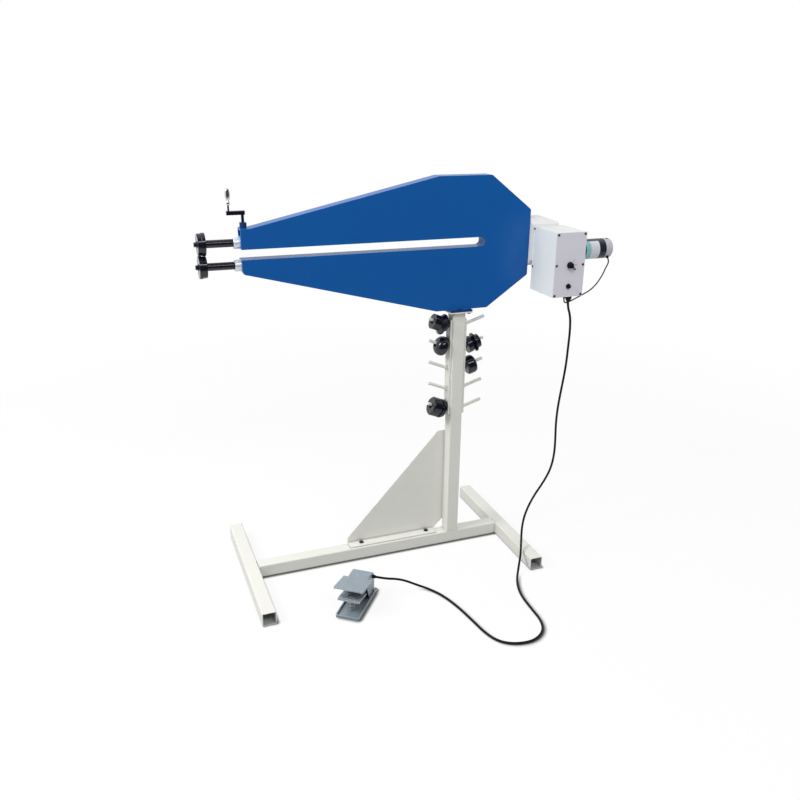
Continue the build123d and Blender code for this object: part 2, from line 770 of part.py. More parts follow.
grip_z = arm_top_z + grip_gap
grip_top_z = grip_z + grip_length
grip_bore = spindle_d / 2 + grip_play
grip_bore_top_z = arm_top_z + spindle_length + grip_play
grip_neck_z = grip_z + grip_ball_d
grip_shoulder_z = grip_top_z - grip_dome
grip_dome_r = (grip_shoulder_d**2 / 4 + grip_dome**2) / (2 * grip_dome)
grip_dome_turn = math.asin(grip_shoulder_d / 2 / grip_dome_r) / 2
with BuildPart() as crank_grip:
    with BuildSketch(Plane.XZ):
        with BuildLine():
            ball_foot = (spindle_x + grip_ball_foot_d / 2, grip_z)
            ball_side = (spindle_x + grip_ball_d / 2, grip_z + grip_ball_d / 2)
            neck = (spindle_x + grip_neck_d / 2, grip_neck_z)
            belly = (spindle_x + grip_d / 2, (grip_neck_z + grip_shoulder_z) / 2)
            shoulder = (spindle_x + grip_shoulder_d / 2, grip_shoulder_z)
            top_side = (spindle_x + grip_dome_r * math.sin(grip_dome_turn),
                        grip_top_z - grip_dome_r * (1 - math.cos(grip_dome_turn)))
            Polyline((spindle_x, grip_top_z), (spindle_x, grip_bore_top_z),
                     (spindle_x + grip_bore, grip_bore_top_z), (spindle_x + grip_bore, grip_z), ball_foot)
            ThreePointArc(ball_foot, ball_side, neck)
            ThreePointArc(neck, belly, shoulder)
            ThreePointArc(shoulder, top_side, (spindle_x, grip_top_z))
        make_face()
    revolve(axis=Axis((spindle_x, 0, 0), (0, 0, 1)))
keep(crank_grip, "crank_grip")

# Control box: a folded sheet box with a lip round its open front
with BuildPart() as control_box:
    with BuildSketch(Plane.XZ.offset(-box_front_y)):
        with Locations((box_mid_x, box_mid_z)):
            Rectangle(box_width, box_height)
    extrude(amount=-box_depth)
    with BuildSketch(Plane.XZ.offset(-box_front_y - box_wall)):
        with Locations((box_mid_x, box_mid_z)):
            Rectangle(box_width - 2 * box_wall, box_height - 2 * box_wall)
    extrude(amount=2 * box_wall - box_depth, mode=Mode.SUBTRACT)
    with BuildSketch(Plane.XZ.offset(-box_front_y)):
        with Locations((box_mid_x, box_mid_z)):
            Rectangle(box_width - 2 * box_lip, box_height - 2 * box_lip)
    extrude(amount=-box_wall, mode=Mode.SUBTRACT)
    round_bar(Plane.XY.offset(box_bottom_z), [pedal_gland_at, lead_gland_at],
              gland_stub_d / 2 + fit_play, box_wall, Mode.SUBTRACT)
    panel_screws_at = [
        (box_mid_x + side * (box_width / 2 - panel_screw_inset),
         box_mid_z + row * (box_height / 2 - panel_screw_inset))
        for side in (-1, 1) for row in (-1, 0, 1)
    ]
    round_bar(Plane.XZ.offset(-box_front_y), panel_screws_at, panel_screw_d / 2 + fit_play, -box_wall,
              Mode.SUBTRACT)
keep(control_box, "control_box")

with BuildPart() as control_panel:
    with BuildSketch(panel_face):
        with Locations((box_mid_x, box_mid_z)):
            Rectangle(box_width, box_height)
            Circle(selector_d / 2 + loose_play, mode=Mode.SUBTRACT)
        with Locations((box_mid_x, fuse_z)):
            Circle(fuse_d / 2 + fit_play, mode=Mode.SUBTRACT)
        with Locations(*panel_screws_at):
            Circle(panel_screw_d / 2 + fit_play, mode=Mode.SUBTRACT)
    extrude(amount=-panel_thick)
keep(control_panel, "control_panel")

with BuildPart() as panel_screws:
    round_bar(panel_face, panel_screws_at, panel_screw_head_d / 2, panel_screw_head)
    round_bar(panel_face, panel_screws_at, panel_screw_d / 2, -panel_screw_length)
keep(panel_screws, "panel_screws")

# Selector switch: a bezel, a barrel through the panel and a contact block behind it
with BuildPart() as selector_switch:
    spot = [(box_mid_x, box_mid_z)]
    round_bar(panel_face, spot, selector_bezel_d / 2, selector_bezel)
    round_bar(panel_face, spot, selector_d / 2, -selector_depth / 2)
    with BuildSketch(panel_face.offset(-selector_depth / 2)):
        with Locations(*spot):
            RectangleRounded(selector_block, selector_block, die_step)
    extrude(amount=-selector_depth / 2)
    round_bar(panel_face.offset(selector_bezel), spot, knob_stem_d / 2 + run_play, -selector_depth / 2,
              Mode.SUBTRACT)
keep(selector_switch, "selector_switch")

knob_face = panel_face.offset(selector_bezel + slide_play)
with BuildPart() as selector_knob:
    round_bar(knob_face, spot, knob_d / 2, knob_height)
    round_bar(knob_face, spot, knob_stem_d / 2, slide_play - selector_depth / 2)
    with BuildSketch(knob_face.offset(knob_height - knob_handle_height / 2)):
        with Locations(Location((box_mid_x, box_mid_z), knob_angle)):
            with Locations((knob_handle_length / 2, 0)):
                SlotOverall(knob_handle_length, knob_handle_width)
    extrude(amount=knob_handle_height)
keep(selector_knob, "selector_knob")

# Fuse holder with a slotted quarter-turn cap
fuse_spot = [(box_mid_x, fuse_z)]
fuse_face = panel_face.offset(fuse_bezel + slide_play)
with BuildPart() as fuse_holder:
    round_bar(panel_face, fuse_spot, fuse_bezel_d / 2, fuse_bezel)
    round_bar(panel_face, fuse_spot, fuse_d / 2, -fuse_depth)
keep(fuse_holder, "fuse_holder")

with BuildPart() as fuse_cap:
    round_bar(fuse_face, fuse_spot, fuse_cap_d / 2, fuse_cap_height)
    with BuildSketch(fuse_face.offset(fuse_cap_height)):
        with Locations(*fuse_spot):
            Rectangle(fuse_cap_d, fuse_slot)
    extrude(amount=-fuse_slot, mode=Mode.SUBTRACT)
keep(fuse_cap, "fuse_cap")

# Speed control board on stand-offs from the box's back wall
board_y = -case_radius - box_wall - board_standoff
with BuildPart() as control_board:
    with BuildSketch(Plane.XZ.offset(-board_y)):
        with Locations((box_mid_x, box_mid_z)):
            Rectangle(board_width, board_height)
    extrude(amount=board_thick)
    with BuildSketch(Plane.XZ.offset(-board_y)):
        with Locations((box_mid_x, box_mid_z)):
            with GridLocations(board_width - board_standoff, board_height - board_standoff, 2, 2):
                Circle(board_standoff_d / 2)
    extrude(amount=-board_standoff)
    with BuildSketch(Plane.XZ.offset(board_thick - board_y)):
        with Locations((box_mid_x, box_mid_z + board_height / 4)):
            Rectangle(board_width / 2, board_height / 4)
        with Locations((box_mid_x, box_mid_z - board_height / 2 + board_standoff)):
            Rectangle(board_width - 2 * board_standoff, board_standoff)
    extrude(amount=board_part_height)
keep(control_board, "control_board")


def gland(plane, stub_d, foot_d, cord_d, length):
    """Adds a moulded strain relief: a stub through the wall, a round foot and a ribbed cone down to the cord."""
    round_bar(plane, [(0, 0)], stub_d / 2, -gland_stub)
    round_bar(plane, [(0, 0)], foot_d / 2, gland_foot)
    taper = (foot_d - cord_d) / 2 - 2 * gland_rib
    profile = []
    for rib in range(gland_rib_count):
        before = rib / gland_rib_count
        after = (rib + 1) / gland_rib_count
        profile.append((foot_d / 2 - gland_rib - taper * before, gland_foot + length * before))
        profile.append((foot_d / 2 - taper * after, gland_foot + length * after))
    with BuildSketch(Plane(plane.origin, x_dir=plane.x_dir, z_dir=-plane.y_dir)) as half:
        with BuildLine():
            Polyline((0, gland_foot), *profile, (0, gland_foot + length), close=True)
        make_face()
    revolve(half.sketch, axis=Axis(plane.origin, plane.z_dir))


# Strain reliefs: under the box for the pedal cord and the motor lead, on the motor and on the pedal's side
pedal_gland_plane = pedal_side.offset(hood_width / 2).shift_origin(
    pedal_side.offset(hood_width / 2).from_local_coords((pedal_gland_u, pedal_gland_z, 0)))
with BuildPart() as cable_glands:
    for at, foot_d, cord_d, length in (
        (pedal_gland_at, pedal_gland_d, pedal_cord_d, pedal_gland_length),
        (lead_gland_at, lead_gland_d, lead_d, lead_gland_length),
    ):
        gland(Plane((*at, box_bottom_z), x_dir=(1, 0, 0), z_dir=(0, 0, -1)), gland_stub_d, foot_d, cord_d, length)
    gland(motor_gland_plane, lead_d, motor_gland_d, lead_d, motor_gland_length)
    gland(pedal_gland_plane, gland_stub_d, pedal_side_gland_d, pedal_cord_d, pedal_side_gland_length)
keep(cable_glands, "cable_glands")


def bend_radii(route):
    """The bend at each inner point of a route, as large as its two runs allow."""
    radii = []
    for before, here, after in zip(route, route[1:], route[2:]):
        run_in = Vector(*here) - Vector(*before)
        run_out = Vector(*after) - Vector(*here)
        half_turn = math.radians(run_in.get_angle(run_out)) / 2
        radii.append(0.45 * min(run_in.length, run_out.length) / math.tan(half_turn))
    return radii


def cord_tube(route, diameter):
    """Sweeps a round cord along straight runs joined by tangent bends, and prints its bends and volume."""
    radii = bend_radii(route)
    with BuildLine() as line:
        FilletPolyline(*route, radius=radii)
    with BuildSketch(Plane(line.line @ 0, z_dir=line.line % 0)) as section:
        Circle(diameter / 2)
    sweep(section.sketch, path=line.line)
    length = line.wire().length
    print("cord length", round(length), "bends", [round(r) for r in radii])
    print("section times length", round(math.pi * diameter**2 / 4 * length))


# Pedal cord: down from the box, over the rear foot, round in a loop on the floor and up to the pedal
pedal_cord_exit = (*pedal_gland_at, box_bottom_z - gland_foot - pedal_gland_length)
pedal_cord_tip = gland_foot + pedal_side_gland_length
pedal_cord_end = (pedal_gland_plane * Pos(0, 0, pedal_cord_tip)).position
pedal_cord_aim = (pedal_gland_plane * Pos(0, 0, pedal_cord_tip + pedal_cord_lead)).position
floor_z = pedal_cord_d / 2 + floor_gap
pedal_cord_route = [
    pedal_cord_exit,
    (360, -190, 1012),
    (375, -190, 976),
    (379, -191, 920),
    (376, -192, 855),
    (374, -192, 791),
    (367, -193, 731),
    (358, -194, 670),
    (350, -195, 605),
    (348, -196, 541),
    (351, -197, 480),
    (351, -198, 419),
    (340, -199, 359),
    (313, -200, 308),
    (265, -202, 244),
    (232, -206, 178),
    (217, -216, 123),
    (205, -240, 70),
    (175, -293, 52),
    (145, -333, 16),
    (107, -392, floor_z),
    (81, -470, floor_z),
    (76, -558, floor_z),
    (74, -635, floor_z),
    (50, -692, floor_z),
    (-5, -727, floor_z),
    (-73, -721, floor_z),
    (-121, -690, floor_z),
    (-144, -633, floor_z),
    (-155, -552, floor_z),
    (-171, -452, floor_z),
    (-195, -371, floor_z),
    (-226, -318, floor_z),
    (-262, -294, 14),
    (-308, -292, 42),
    (-350, -303, 66),
    tuple(pedal_cord_aim),
    tuple(pedal_cord_end),
]
with BuildPart() as pedal_cord:
    cord_tube(pedal_cord_route, pedal_cord_d)
print("pedal cord volume", round(pedal_cord.part.volume))
keep(pedal_cord, "pedal_cord")

# Motor lead: out of the end cap's lower front, in a slack bow to its gland behind the pedal cord
lead_tip = gland_foot + motor_gland_length
lead_exit = (motor_gland_plane * Pos(0, 0, lead_tip)).position
lead_aim = (motor_gland_plane * Pos(0, 0, lead_tip + lead_lead)).position
lead_end = (*lead_gland_at, box_bottom_z - gland_foot - lead_gland_length)
motor_lead_route = [
    tuple(lead_exit),
    tuple(lead_aim),
    (604, -56, 1114),
    (584, -66, 1087),
    (553, -80, 1060),
    (513, -100, 1042),
    (454, -128, 1031),
    (405, -150, 1021),
    (378, -162, 1015),
    (363, -168.5, 1014),
    (*lead_gland_at, 1025),
    lead_end,
]
with BuildPart() as motor_lead:
    cord_tube(motor_lead_route, lead_d)
print("motor lead volume", round(motor_lead.part.volume))
keep(motor_lead, "motor_lead")

# Foot pedal base: a tray with a low rim and two ears with holes at the heel
with BuildPart() as pedal_base:
    with BuildSketch(pedal_plane):
        with Locations((pedal_length / 2, 0)):
            RectangleRounded(pedal_length, pedal_width, pedal_corner)
        ears = [(pedal_ear_u, side * pedal_ear_v) for side in (-1, 1)]
        with Locations(*ears):
            Circle(pedal_ear_d / 2)
            Circle(pedal_ear_hole_d / 2, mode=Mode.SUBTRACT)
    extrude(amount=pedal_floor)
    with BuildSketch(pedal_plane.offset(pedal_floor)):
        with Locations((hood_back / 2, 0)):
            RectangleRounded(hood_back, pedal_width, pedal_corner)
            RectangleRounded(hood_back - 2 * pedal_rim_wall, pedal_width - 2 * pedal_rim_wall,
                             pedal_corner - pedal_rim_wall, mode=Mode.SUBTRACT)
        with Locations((hood_back, 0)):
            Rectangle(2 * hood_wall + 2 * pedal_rim_wall, hood_width + 2 * slide_play, mode=Mode.SUBTRACT)
    extrude(amount=pedal_rim)
keep(pedal_base, "pedal_base")

# Pedal hood: side cheeks, a round back and a visor over the toes, cast in one
hood_outside = [(hood_toe_low, pedal_floor), (hood_toe_high, hood_top), (hood_back, hood_top), (hood_back, pedal_floor)]
hood_inside = [
    (0, pedal_floor), (0, hood_top - hood_wall), (hood_back - hood_wall, hood_top - hood_wall),
    (hood_back - hood_wall, pedal_floor),
]
visor_top_front = hood_top + visor_rise
with BuildPart() as pedal_hood:
    with BuildSketch(pedal_side):
        with BuildLine():
            FilletPolyline(*hood_outside, radius=[0, 0, hood_round, 0], close=True)
        make_face()
    extrude(amount=hood_width / 2, both=True)
    with BuildSketch(pedal_side):
        with BuildLine():
            Polyline((visor_front, visor_top_front), (visor_back, hood_top),
                     (visor_back, hood_top - visor_skirt),
                     (visor_front, visor_top_front - visor_skirt), close=True)
        make_face()
    extrude(amount=visor_width / 2, both=True)
    visor_noses = edges().filter_by(Axis.Z).group_by(Axis(pedal_plane.origin, pedal_plane.x_dir))[0]
    fillet(visor_noses, visor_corner)
    with BuildSketch(pedal_side):
        with BuildLine():
            Polyline((0, visor_top_front - visor_thick), (visor_back - hood_wall, hood_top - visor_thick),
                     (visor_back - hood_wall, 0), (0, 0), close=True)
        make_face()
    extrude(amount=visor_width / 2 - hood_wall, both=True, mode=Mode.SUBTRACT)
    with BuildSketch(pedal_side):
        with BuildLine():
            FilletPolyline(*hood_outside, radius=[0, 0, hood_round, 0], close=True)
        make_face()
    extrude(amount=hood_width / 2, both=True)
    with BuildSketch(pedal_side):
        with BuildLine():
            FilletPolyline(*hood_inside, radius=[0, 0, hood_round - hood_wall, 0], close=True)
        make_face()
    extrude(amount=hood_width / 2 - hood_wall, both=True, mode=Mode.SUBTRACT)
    with BuildSketch(pedal_side):
        with Locations((hinge_u, hinge_z)):
            Circle(hinge_pin_d / 2 + fit_play)
    extrude(amount=hood_width, both=True, mode=Mode.SUBTRACT)
    with BuildSketch(pedal_gland_plane):
        Circle(gland_stub_d / 2 + fit_play)
    extrude(amount=-hood_wall, mode=Mode.SUBTRACT)
keep(pedal_hood, "pedal_hood")

# Treadle: a ribbed plate, wide at the toes, on a tongue that is hinged on a pin through the cheeks
treadle_corners = [
    (hinge_u, hinge_z + treadle_thick / 2),
    (treadle_front, treadle_front_top),
    (treadle_front, treadle_front_top - treadle_thick - treadle_lip),
    (treadle_front + treadle_thick, treadle_front_top - treadle_thick - treadle_lip),
    (treadle_front + treadle_thick, treadle_front_top - treadle_thick),
    (hinge_u, hinge_z - treadle_thick / 2),
]
treadle_slope = math.degrees(math.atan2(
    hinge_z + treadle_thick / 2 - treadle_front_top, hinge_u - treadle_front))
with BuildPart() as pedal_treadle:
    with BuildSketch(pedal_side):
        with BuildLine():
            FilletPolyline(*treadle_corners, radius=[0, treadle_thick - treadle_rib, 0, 0, treadle_rib, 0],
                           close=True)
        make_face()
        with Locations((hinge_u, hinge_z)):
            Circle(hinge_barrel_d / 2)
        with Locations(Location((treadle_front, treadle_front_top), treadle_slope)):
            with Locations(*[
                (treadle_first_rib + number * treadle_rib_pitch, 0) for number in range(treadle_rib_count)
            ]):
                Rectangle(treadle_rib_width, 2 * treadle_rib)
        with Locations((hinge_u, hinge_z)):
            Circle(hinge_pin_d / 2 + run_play, mode=Mode.SUBTRACT)
    extrude(amount=treadle_toe_width / 2, both=True)
    tongue_trim = treadle_toe_width - treadle_width
    with BuildSketch(pedal_plane):
        with Locations(*[(treadle_toe_back, side * treadle_toe_width / 2) for side in (-1, 1)]):
            Rectangle(hinge_u, tongue_trim, align=(Align.MIN, Align.CENTER))
    extrude(amount=hood_top, mode=Mode.SUBTRACT)
keep(pedal_treadle, "pedal_treadle")

with BuildPart() as pedal_pin:
    with BuildSketch(pedal_side):
        with Locations((hinge_u, hinge_z)):
            Circle(hinge_pin_d / 2)
    extrude(amount=hood_width / 2 + 1, both=True)
keep(pedal_pin, "pedal_pin")

# Return spring of the treadle: a coil between the tray and the tongue
spring_low = pedal_floor + spring_wire / 2
treadle_share = (spring_u + spring_radius - treadle_front) / (hinge_u - treadle_front)
treadle_under = (treadle_front_top - treadle_thick
                 + treadle_share * (hinge_z + treadle_thick / 2 - treadle_front_top))
spring_rise = treadle_under - spring_seat_gap - spring_wire - pedal_floor


def spring_point(turn):
    """A point on the coil's centre line after so many turns, in the pedal's frame."""
    angle = 2 * math.pi * turn
    return (spring_u + spring_radius * math.cos(angle), spring_radius * math.sin(angle),
            spring_low + spring_rise * turn / spring_turns)


with BuildPart() as pedal_spring:
    with BuildLine(pedal_plane) as coil:
        for quarter in range(4 * spring_turns):
            ThreePointArc(*[spring_point((quarter + part) / 4) for part in (0, 0.5, 1)])
    with BuildSketch(Plane(coil.line @ 0, z_dir=coil.line % 0)):
        Circle(spring_wire / 2)
    sweep(path=coil.line)
keep(pedal_spring, "pedal_spring")

with BuildPart() as pedal_switch:
    with BuildSketch(pedal_plane.offset(pedal_floor)):
        with Locations((switch_u, 0)):
            Rectangle(switch_size[0], switch_size[1])
    extrude(amount=switch_size[2])
    with BuildSketch(pedal_plane.offset(pedal_floor + switch_size[2])):
        with Locations((switch_u, 0)):
            Circle(switch_plunger_d / 2)
    extrude(amount=switch_plunger)
keep(pedal_switch, "pedal_switch")

# Spare dies: turned profiles of (distance along the peg, radius), each hung on its peg by the bore
spare_dies = {
    "bead_die": (-1, 0, [(0, 22), (8, 24), (17, 40), (22, 40), (34, 29), (62, 29)]),
    "round_die": (-1, 1, [(0, 30), (4, 35), (11, 37.5), (21, 37.5), (31, 33), (38, 26), (43, 16)]),
    "groove_die": (-1, 4, [(0, 32), (9, 32), (9, 37), (17, 37), (17, 32), (25, 32), (25, 37), (52, 37), (57, 32)]),
    "flange_die": (1, 1, [(0, 32), (18, 32), (26, 24), (32, 37), (36, 37), (40, 28), (54, 26)]),
    "crown_die": (1, 2, [(0, 31), (4, 35), (10, 36), (28, 36), (36, 33), (41, 26)]),
}
spare_sag = spare_bore_d / 2 - peg_d / 2 - spare_gap
for spare_name, (side, number, profile) in spare_dies.items():
    peg = peg_plane(side, number)
    down = peg.y_dir if peg.y_dir.Z < 0 else -peg.y_dir
    middle = peg.origin + down * spare_sag
    turning = Plane(middle, x_dir=peg.z_dir, z_dir=(0, 1, 0))
    slope = math.tan(peg_tilt[side])
    lean = max((radius - spare_sag) * slope - along for along, radius in profile)
    start = max(lean, peg_collar) + spare_gap
    with BuildPart() as spare_die:
        with BuildSketch(turning):
            with BuildLine():
                Polyline((start, spare_bore_d / 2), *[(start + along, radius) for along, radius in profile],
                         (start + profile[-1][0], spare_bore_d / 2), close=True)
            make_face()
        revolve(axis=Axis(middle, peg.z_dir))
    keep(spare_die, spare_name)
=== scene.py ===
import json
import math

import bmesh
import bpy
from mathutils import Matrix, Vector


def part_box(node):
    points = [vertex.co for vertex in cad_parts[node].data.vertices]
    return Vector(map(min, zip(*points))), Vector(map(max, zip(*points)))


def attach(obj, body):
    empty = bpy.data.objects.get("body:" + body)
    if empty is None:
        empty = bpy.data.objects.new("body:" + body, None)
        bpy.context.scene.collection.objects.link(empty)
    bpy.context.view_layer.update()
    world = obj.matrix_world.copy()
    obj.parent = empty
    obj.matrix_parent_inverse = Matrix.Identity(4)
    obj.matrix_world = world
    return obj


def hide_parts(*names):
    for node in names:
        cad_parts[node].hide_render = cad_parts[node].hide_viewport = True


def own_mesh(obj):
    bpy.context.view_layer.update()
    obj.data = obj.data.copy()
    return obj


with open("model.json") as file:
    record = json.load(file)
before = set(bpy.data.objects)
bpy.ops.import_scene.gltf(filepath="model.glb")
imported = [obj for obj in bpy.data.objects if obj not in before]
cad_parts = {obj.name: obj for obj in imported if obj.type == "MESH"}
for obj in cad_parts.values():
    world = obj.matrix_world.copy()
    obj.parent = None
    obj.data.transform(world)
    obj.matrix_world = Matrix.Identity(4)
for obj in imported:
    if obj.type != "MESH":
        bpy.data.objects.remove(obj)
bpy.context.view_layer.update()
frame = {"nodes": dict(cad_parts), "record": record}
cad = frame["nodes"]
scene = bpy.context.scene
MM = 0.001

# Camera, fitted to the stand's and the frame's straight edges for a square picture
PICTURE_PX = 800
FOCAL_PX = 806.347
SENSOR_MM = 36
CAMERA_SPOT = (-1.25233, -2.68902, 1.73549)
CAMERA_YAW = 0.364565
CAMERA_TILT = -0.361268
CAMERA_ROLL = 0.009820


def place_camera():
    """Sets the camera at the fitted spot, looking the fitted way."""
    ahead = Vector((
        math.sin(CAMERA_YAW) * math.cos(CAMERA_TILT),
        math.cos(CAMERA_YAW) * math.cos(CAMERA_TILT),
        math.sin(CAMERA_TILT),
    ))
    level = Vector((math.cos(CAMERA_YAW), -math.sin(CAMERA_YAW), 0))
    over = level.cross(ahead)
    right = level * math.cos(CAMERA_ROLL) + over * math.sin(CAMERA_ROLL)
    top = over * math.cos(CAMERA_ROLL) - level * math.sin(CAMERA_ROLL)
    lens = bpy.data.cameras.new("camera")
    lens.sensor_width = SENSOR_MM
    lens.lens = FOCAL_PX * SENSOR_MM / PICTURE_PX
    camera = bpy.data.objects.new("camera", lens)
    turn = Matrix((right, top, -ahead)).transposed().to_4x4()
    camera.matrix_world = Matrix.Translation(CAMERA_SPOT) @ turn
    scene.collection.objects.link(camera)
    scene.camera = camera


# Shader sums


class Wire:
    """One shader socket in plain sums: an expression of wires adds the nodes that work it out."""

    def __init__(self, tree, socket=None):
        self.tree = tree
        self.socket = socket

    def plug(self, socket, value):
        """Links a wire to a socket, or sets a plain value on it."""
        if isinstance(value, Wire):
            self.tree.links.new(value.socket, socket)
        elif isinstance(value, tuple) and socket.type == "RGBA":
            socket.default_value = (*value, 1)
        else:
            socket.default_value = value

    def node(self, kind, inputs, output=0, **settings):
        """Adds a node with its settings and inputs, and gives one of its outputs as a wire."""
        made = self.tree.nodes.new("ShaderNode" + kind)
        for name, value in settings.items():
            setattr(made, name, value)
        for name, value in inputs.items():
            self.plug(made.inputs[name], value)
        return Wire(self.tree, made.outputs[output])

    def sum(self, operation, first, second=0.0):
        """A Math node on values or wires."""
        return self.node("Math", {0: first, 1: second}, operation=operation)

    def mix(self, first, second):
        """A colour between two, with this wire as the share of the second."""
        return self.node("Mix", {0: self, 6: first, 7: second}, 2, data_type="RGBA")

    def above(self, level, blur):
        """A mask that is 1 above a level, with a soft edge."""
        inputs = {"Value": self, "From Min": level - blur, "From Max": level + blur}
        return self.node("MapRange", inputs)

    def __add__(self, other):
        return self.sum("ADD", self, other)

    def __radd__(self, other):
        return self.sum("ADD", other, self)

    def __sub__(self, other):
        return self.sum("SUBTRACT", self, other)

    def __rsub__(self, other):
        return self.sum("SUBTRACT", other, self)

    def __mul__(self, other):
        return self.sum("MULTIPLY", self, other)

    def __rmul__(self, other):
        return self.sum("MULTIPLY", other, self)

    def __abs__(self):
        return self.sum("ABSOLUTE", self)


# Finishes: gloss of a clear coat, width and patches of the wear on edges, and the middle of a noise
COAT_ROUGHNESS = 0.08
WEAR_WIDTH = 0.0018
WEAR_PATCH = 0.006
NOISE_MIDDLE = 0.5


class Finish:
    """A material with one shader, its object coordinates and a few noises at a metre scale."""

    def __init__(self, name, metallic=0.0, coat=0.0, shine=0.5):
        self.material = bpy.data.materials.new(name)
        self.material.use_nodes = True
        tree = self.material.node_tree
        self.wire = Wire(tree)
        self.shader = tree.nodes["Principled BSDF"]
        self.set("Metallic", metallic)
        self.set("Coat Weight", coat)
        self.set("Coat Roughness", COAT_ROUGHNESS)
        self.set("Specular IOR Level", shine)
        self.place = self.wire.node("TexCoord", {}, "Object")

    def set(self, socket, value):
        """Feeds one of the shader's sockets."""
        self.wire.plug(self.shader.inputs[socket], value)

    def noise(self, size, detail=2.0, stretch=None):
        """Noise whose features are about so many metres across, drawn out by a stretch along each axis."""
        spot = self.place
        if stretch:
            spot = self.wire.node("Mapping", {"Vector": spot, "Scale": stretch})
        return self.wire.node("TexNoise", {"Vector": spot, "Scale": 1 / size, "Detail": detail})

    def along(self, axis):
        """The coordinate along X, Y or Z, in metres."""
        return self.wire.node("SeparateXYZ", {"Vector": self.place}, axis)

    def edges(self, width=WEAR_WIDTH):
        """A mask of the edges, so many metres wide and broken up as wear is."""
        rounded = self.wire.node("Bevel", {"Radius": width}, "Normal", samples=4)
        flat = self.wire.node("NewGeometry", {}, "Normal")
        inputs = {0: rounded, 1: flat}
        flatness = self.wire.node("VectorMath", inputs, "Value", operation="DOT_PRODUCT")
        patches = self.noise(WEAR_PATCH, detail=3.0).above(0.45, blur=0.2)
        return (1 - flatness.above(0.96, blur=0.03)) * patches

    def recess_shade(self, reach):
        """A mask of the inward corners, where shade is painted, that reaches so many metres out of them."""
        open_share = self.wire.node("AmbientOcclusion", {"Distance": reach}, "AO", samples=8)
        return 1 - open_share.above(0.55, blur=0.3)

    def relief(self, height, depth, strength):
        """Bumps the surface by a height wire, to a depth in metres."""
        inputs = {"Height": height, "Distance": depth, "Strength": strength}
        self.set("Normal", self.wire.node("Bump", inputs, "Normal"))


# Paint: sizes of its broad tones and dust, their shares in colour and gloss, worn edges, painted shade in
# corners and peel
BROAD_SIZE = 0.22
BROAD_SHARE = 0.55
BROAD_ROUGHNESS = 0.06
DUST_SIZE = 0.035
DUST_SHARE = 0.3
DUST_ROUGHNESS = 0.1
RUBBED_SHARE = 0.5
# Painted shade in inward corners, darkest where the occlusion test finds them closed in: its reach and share
CORNER_SHADE_REACH = 0.014
CORNER_SHADE_SHARE = 0.8
PEEL_DEPTH = 0.0001
PEEL_STRENGTH = 0.5

# The square tube of the stand's feet: half its side, half its bore with a little of the wall, and its inside
TUBE_HALF = 0.0254
TUBE_BORE_HALF = 0.0228
TUBE_BORE_BLUR = 0.0002
BORE_STEEL = (0.40, 0.42, 0.42)
BORE_DUST = (0.54, 0.56, 0.56)


def paint(name, colour, worn, roughness, shine, peel, peel_depth=PEEL_DEPTH,
          rubbed=None, corner_shade=None, bore_x=None):
    """Sprayed or powder-coated paint: broad tones, dust, fine peel, paler edges and painted shade in its
    inward corners.

    A tube of the stand's feet has its middle at bore_x, and is bare steel inside.
    """
    finish = Finish(name, shine=shine)
    broad = finish.noise(BROAD_SIZE, detail=3.0)
    dust = finish.noise(DUST_SIZE, detail=5.0)
    tone = broad.above(0.5, blur=0.32) * BROAD_SHARE + dust.above(0.62, blur=0.2) * DUST_SHARE
    coat = tone.mix(colour, worn)
    if rubbed:
        coat = (finish.edges() * RUBBED_SHARE).mix(coat, rubbed)
    # Painted shade: inward corners and seams are darkened towards a shade colour
    if corner_shade:
        coat = (finish.recess_shade(CORNER_SHADE_REACH) * CORNER_SHADE_SHARE).mix(coat, corner_shade)
    if bore_x is not None:
        across = abs(finish.along("X") - bore_x).above(TUBE_BORE_HALF, TUBE_BORE_BLUR)
        upright = abs(finish.along("Z") - TUBE_HALF).above(TUBE_BORE_HALF, TUBE_BORE_BLUR)
        bore = (1 - across) * (1 - upright)
        coat = bore.mix(coat, dust.mix(BORE_STEEL, BORE_DUST))
    finish.set("Base Color", coat)
    uneven = DUST_ROUGHNESS * (dust - NOISE_MIDDLE) + BROAD_ROUGHNESS * (broad - NOISE_MIDDLE)
    finish.set("Roughness", roughness + uneven)
    finish.relief(finish.noise(peel), peel_depth, PEEL_STRENGTH)
    return finish.material


# Turned steel: sizes of its rings and smears, and their shares in colour and gloss
RING_SIZE = 0.004
RING_SHARE = 0.6
RING_ROUGHNESS = 0.12
RING_STRENGTH = 0.3
SMEAR_SIZE = 0.03
SMEAR_SHARE = 0.3
SMEAR_ROUGHNESS = 0.1


def turned_steel(name, colour, bright, roughness, stretch, metallic=1.0, shine=0.5, groove=0.00012):
    """Turned steel: fine rings across the axis, as deep as its grooves, with lighter and darker bands."""
    finish = Finish(name, metallic=metallic, shine=shine)
    rings = finish.noise(RING_SIZE, detail=4.0, stretch=stretch)
    smears = finish.noise(SMEAR_SIZE, detail=4.0)
    tone = rings.above(0.55, blur=0.3) * RING_SHARE + smears.above(0.6, blur=0.2) * SMEAR_SHARE
    finish.set("Base Color", tone.mix(colour, bright))
    uneven = RING_ROUGHNESS * (rings - NOISE_MIDDLE) + SMEAR_ROUGHNESS * (smears - NOISE_MIDDLE)
    finish.set("Roughness", roughness + uneven)
    finish.relief(rings, groove, RING_STRENGTH)
    return finish.material


# Moulded plastic, and the grain that the motor's shell shares with it
PLASTIC_SHINE = 0.12
PLASTIC_GRAIN = 0.0012
HAZE_SIZE = 0.02
HAZE_SHARE = 0.6
GRAIN_ROUGHNESS = 0.12
GRAIN_DEPTH = 0.0001
GRAIN_STRENGTH = 0.4


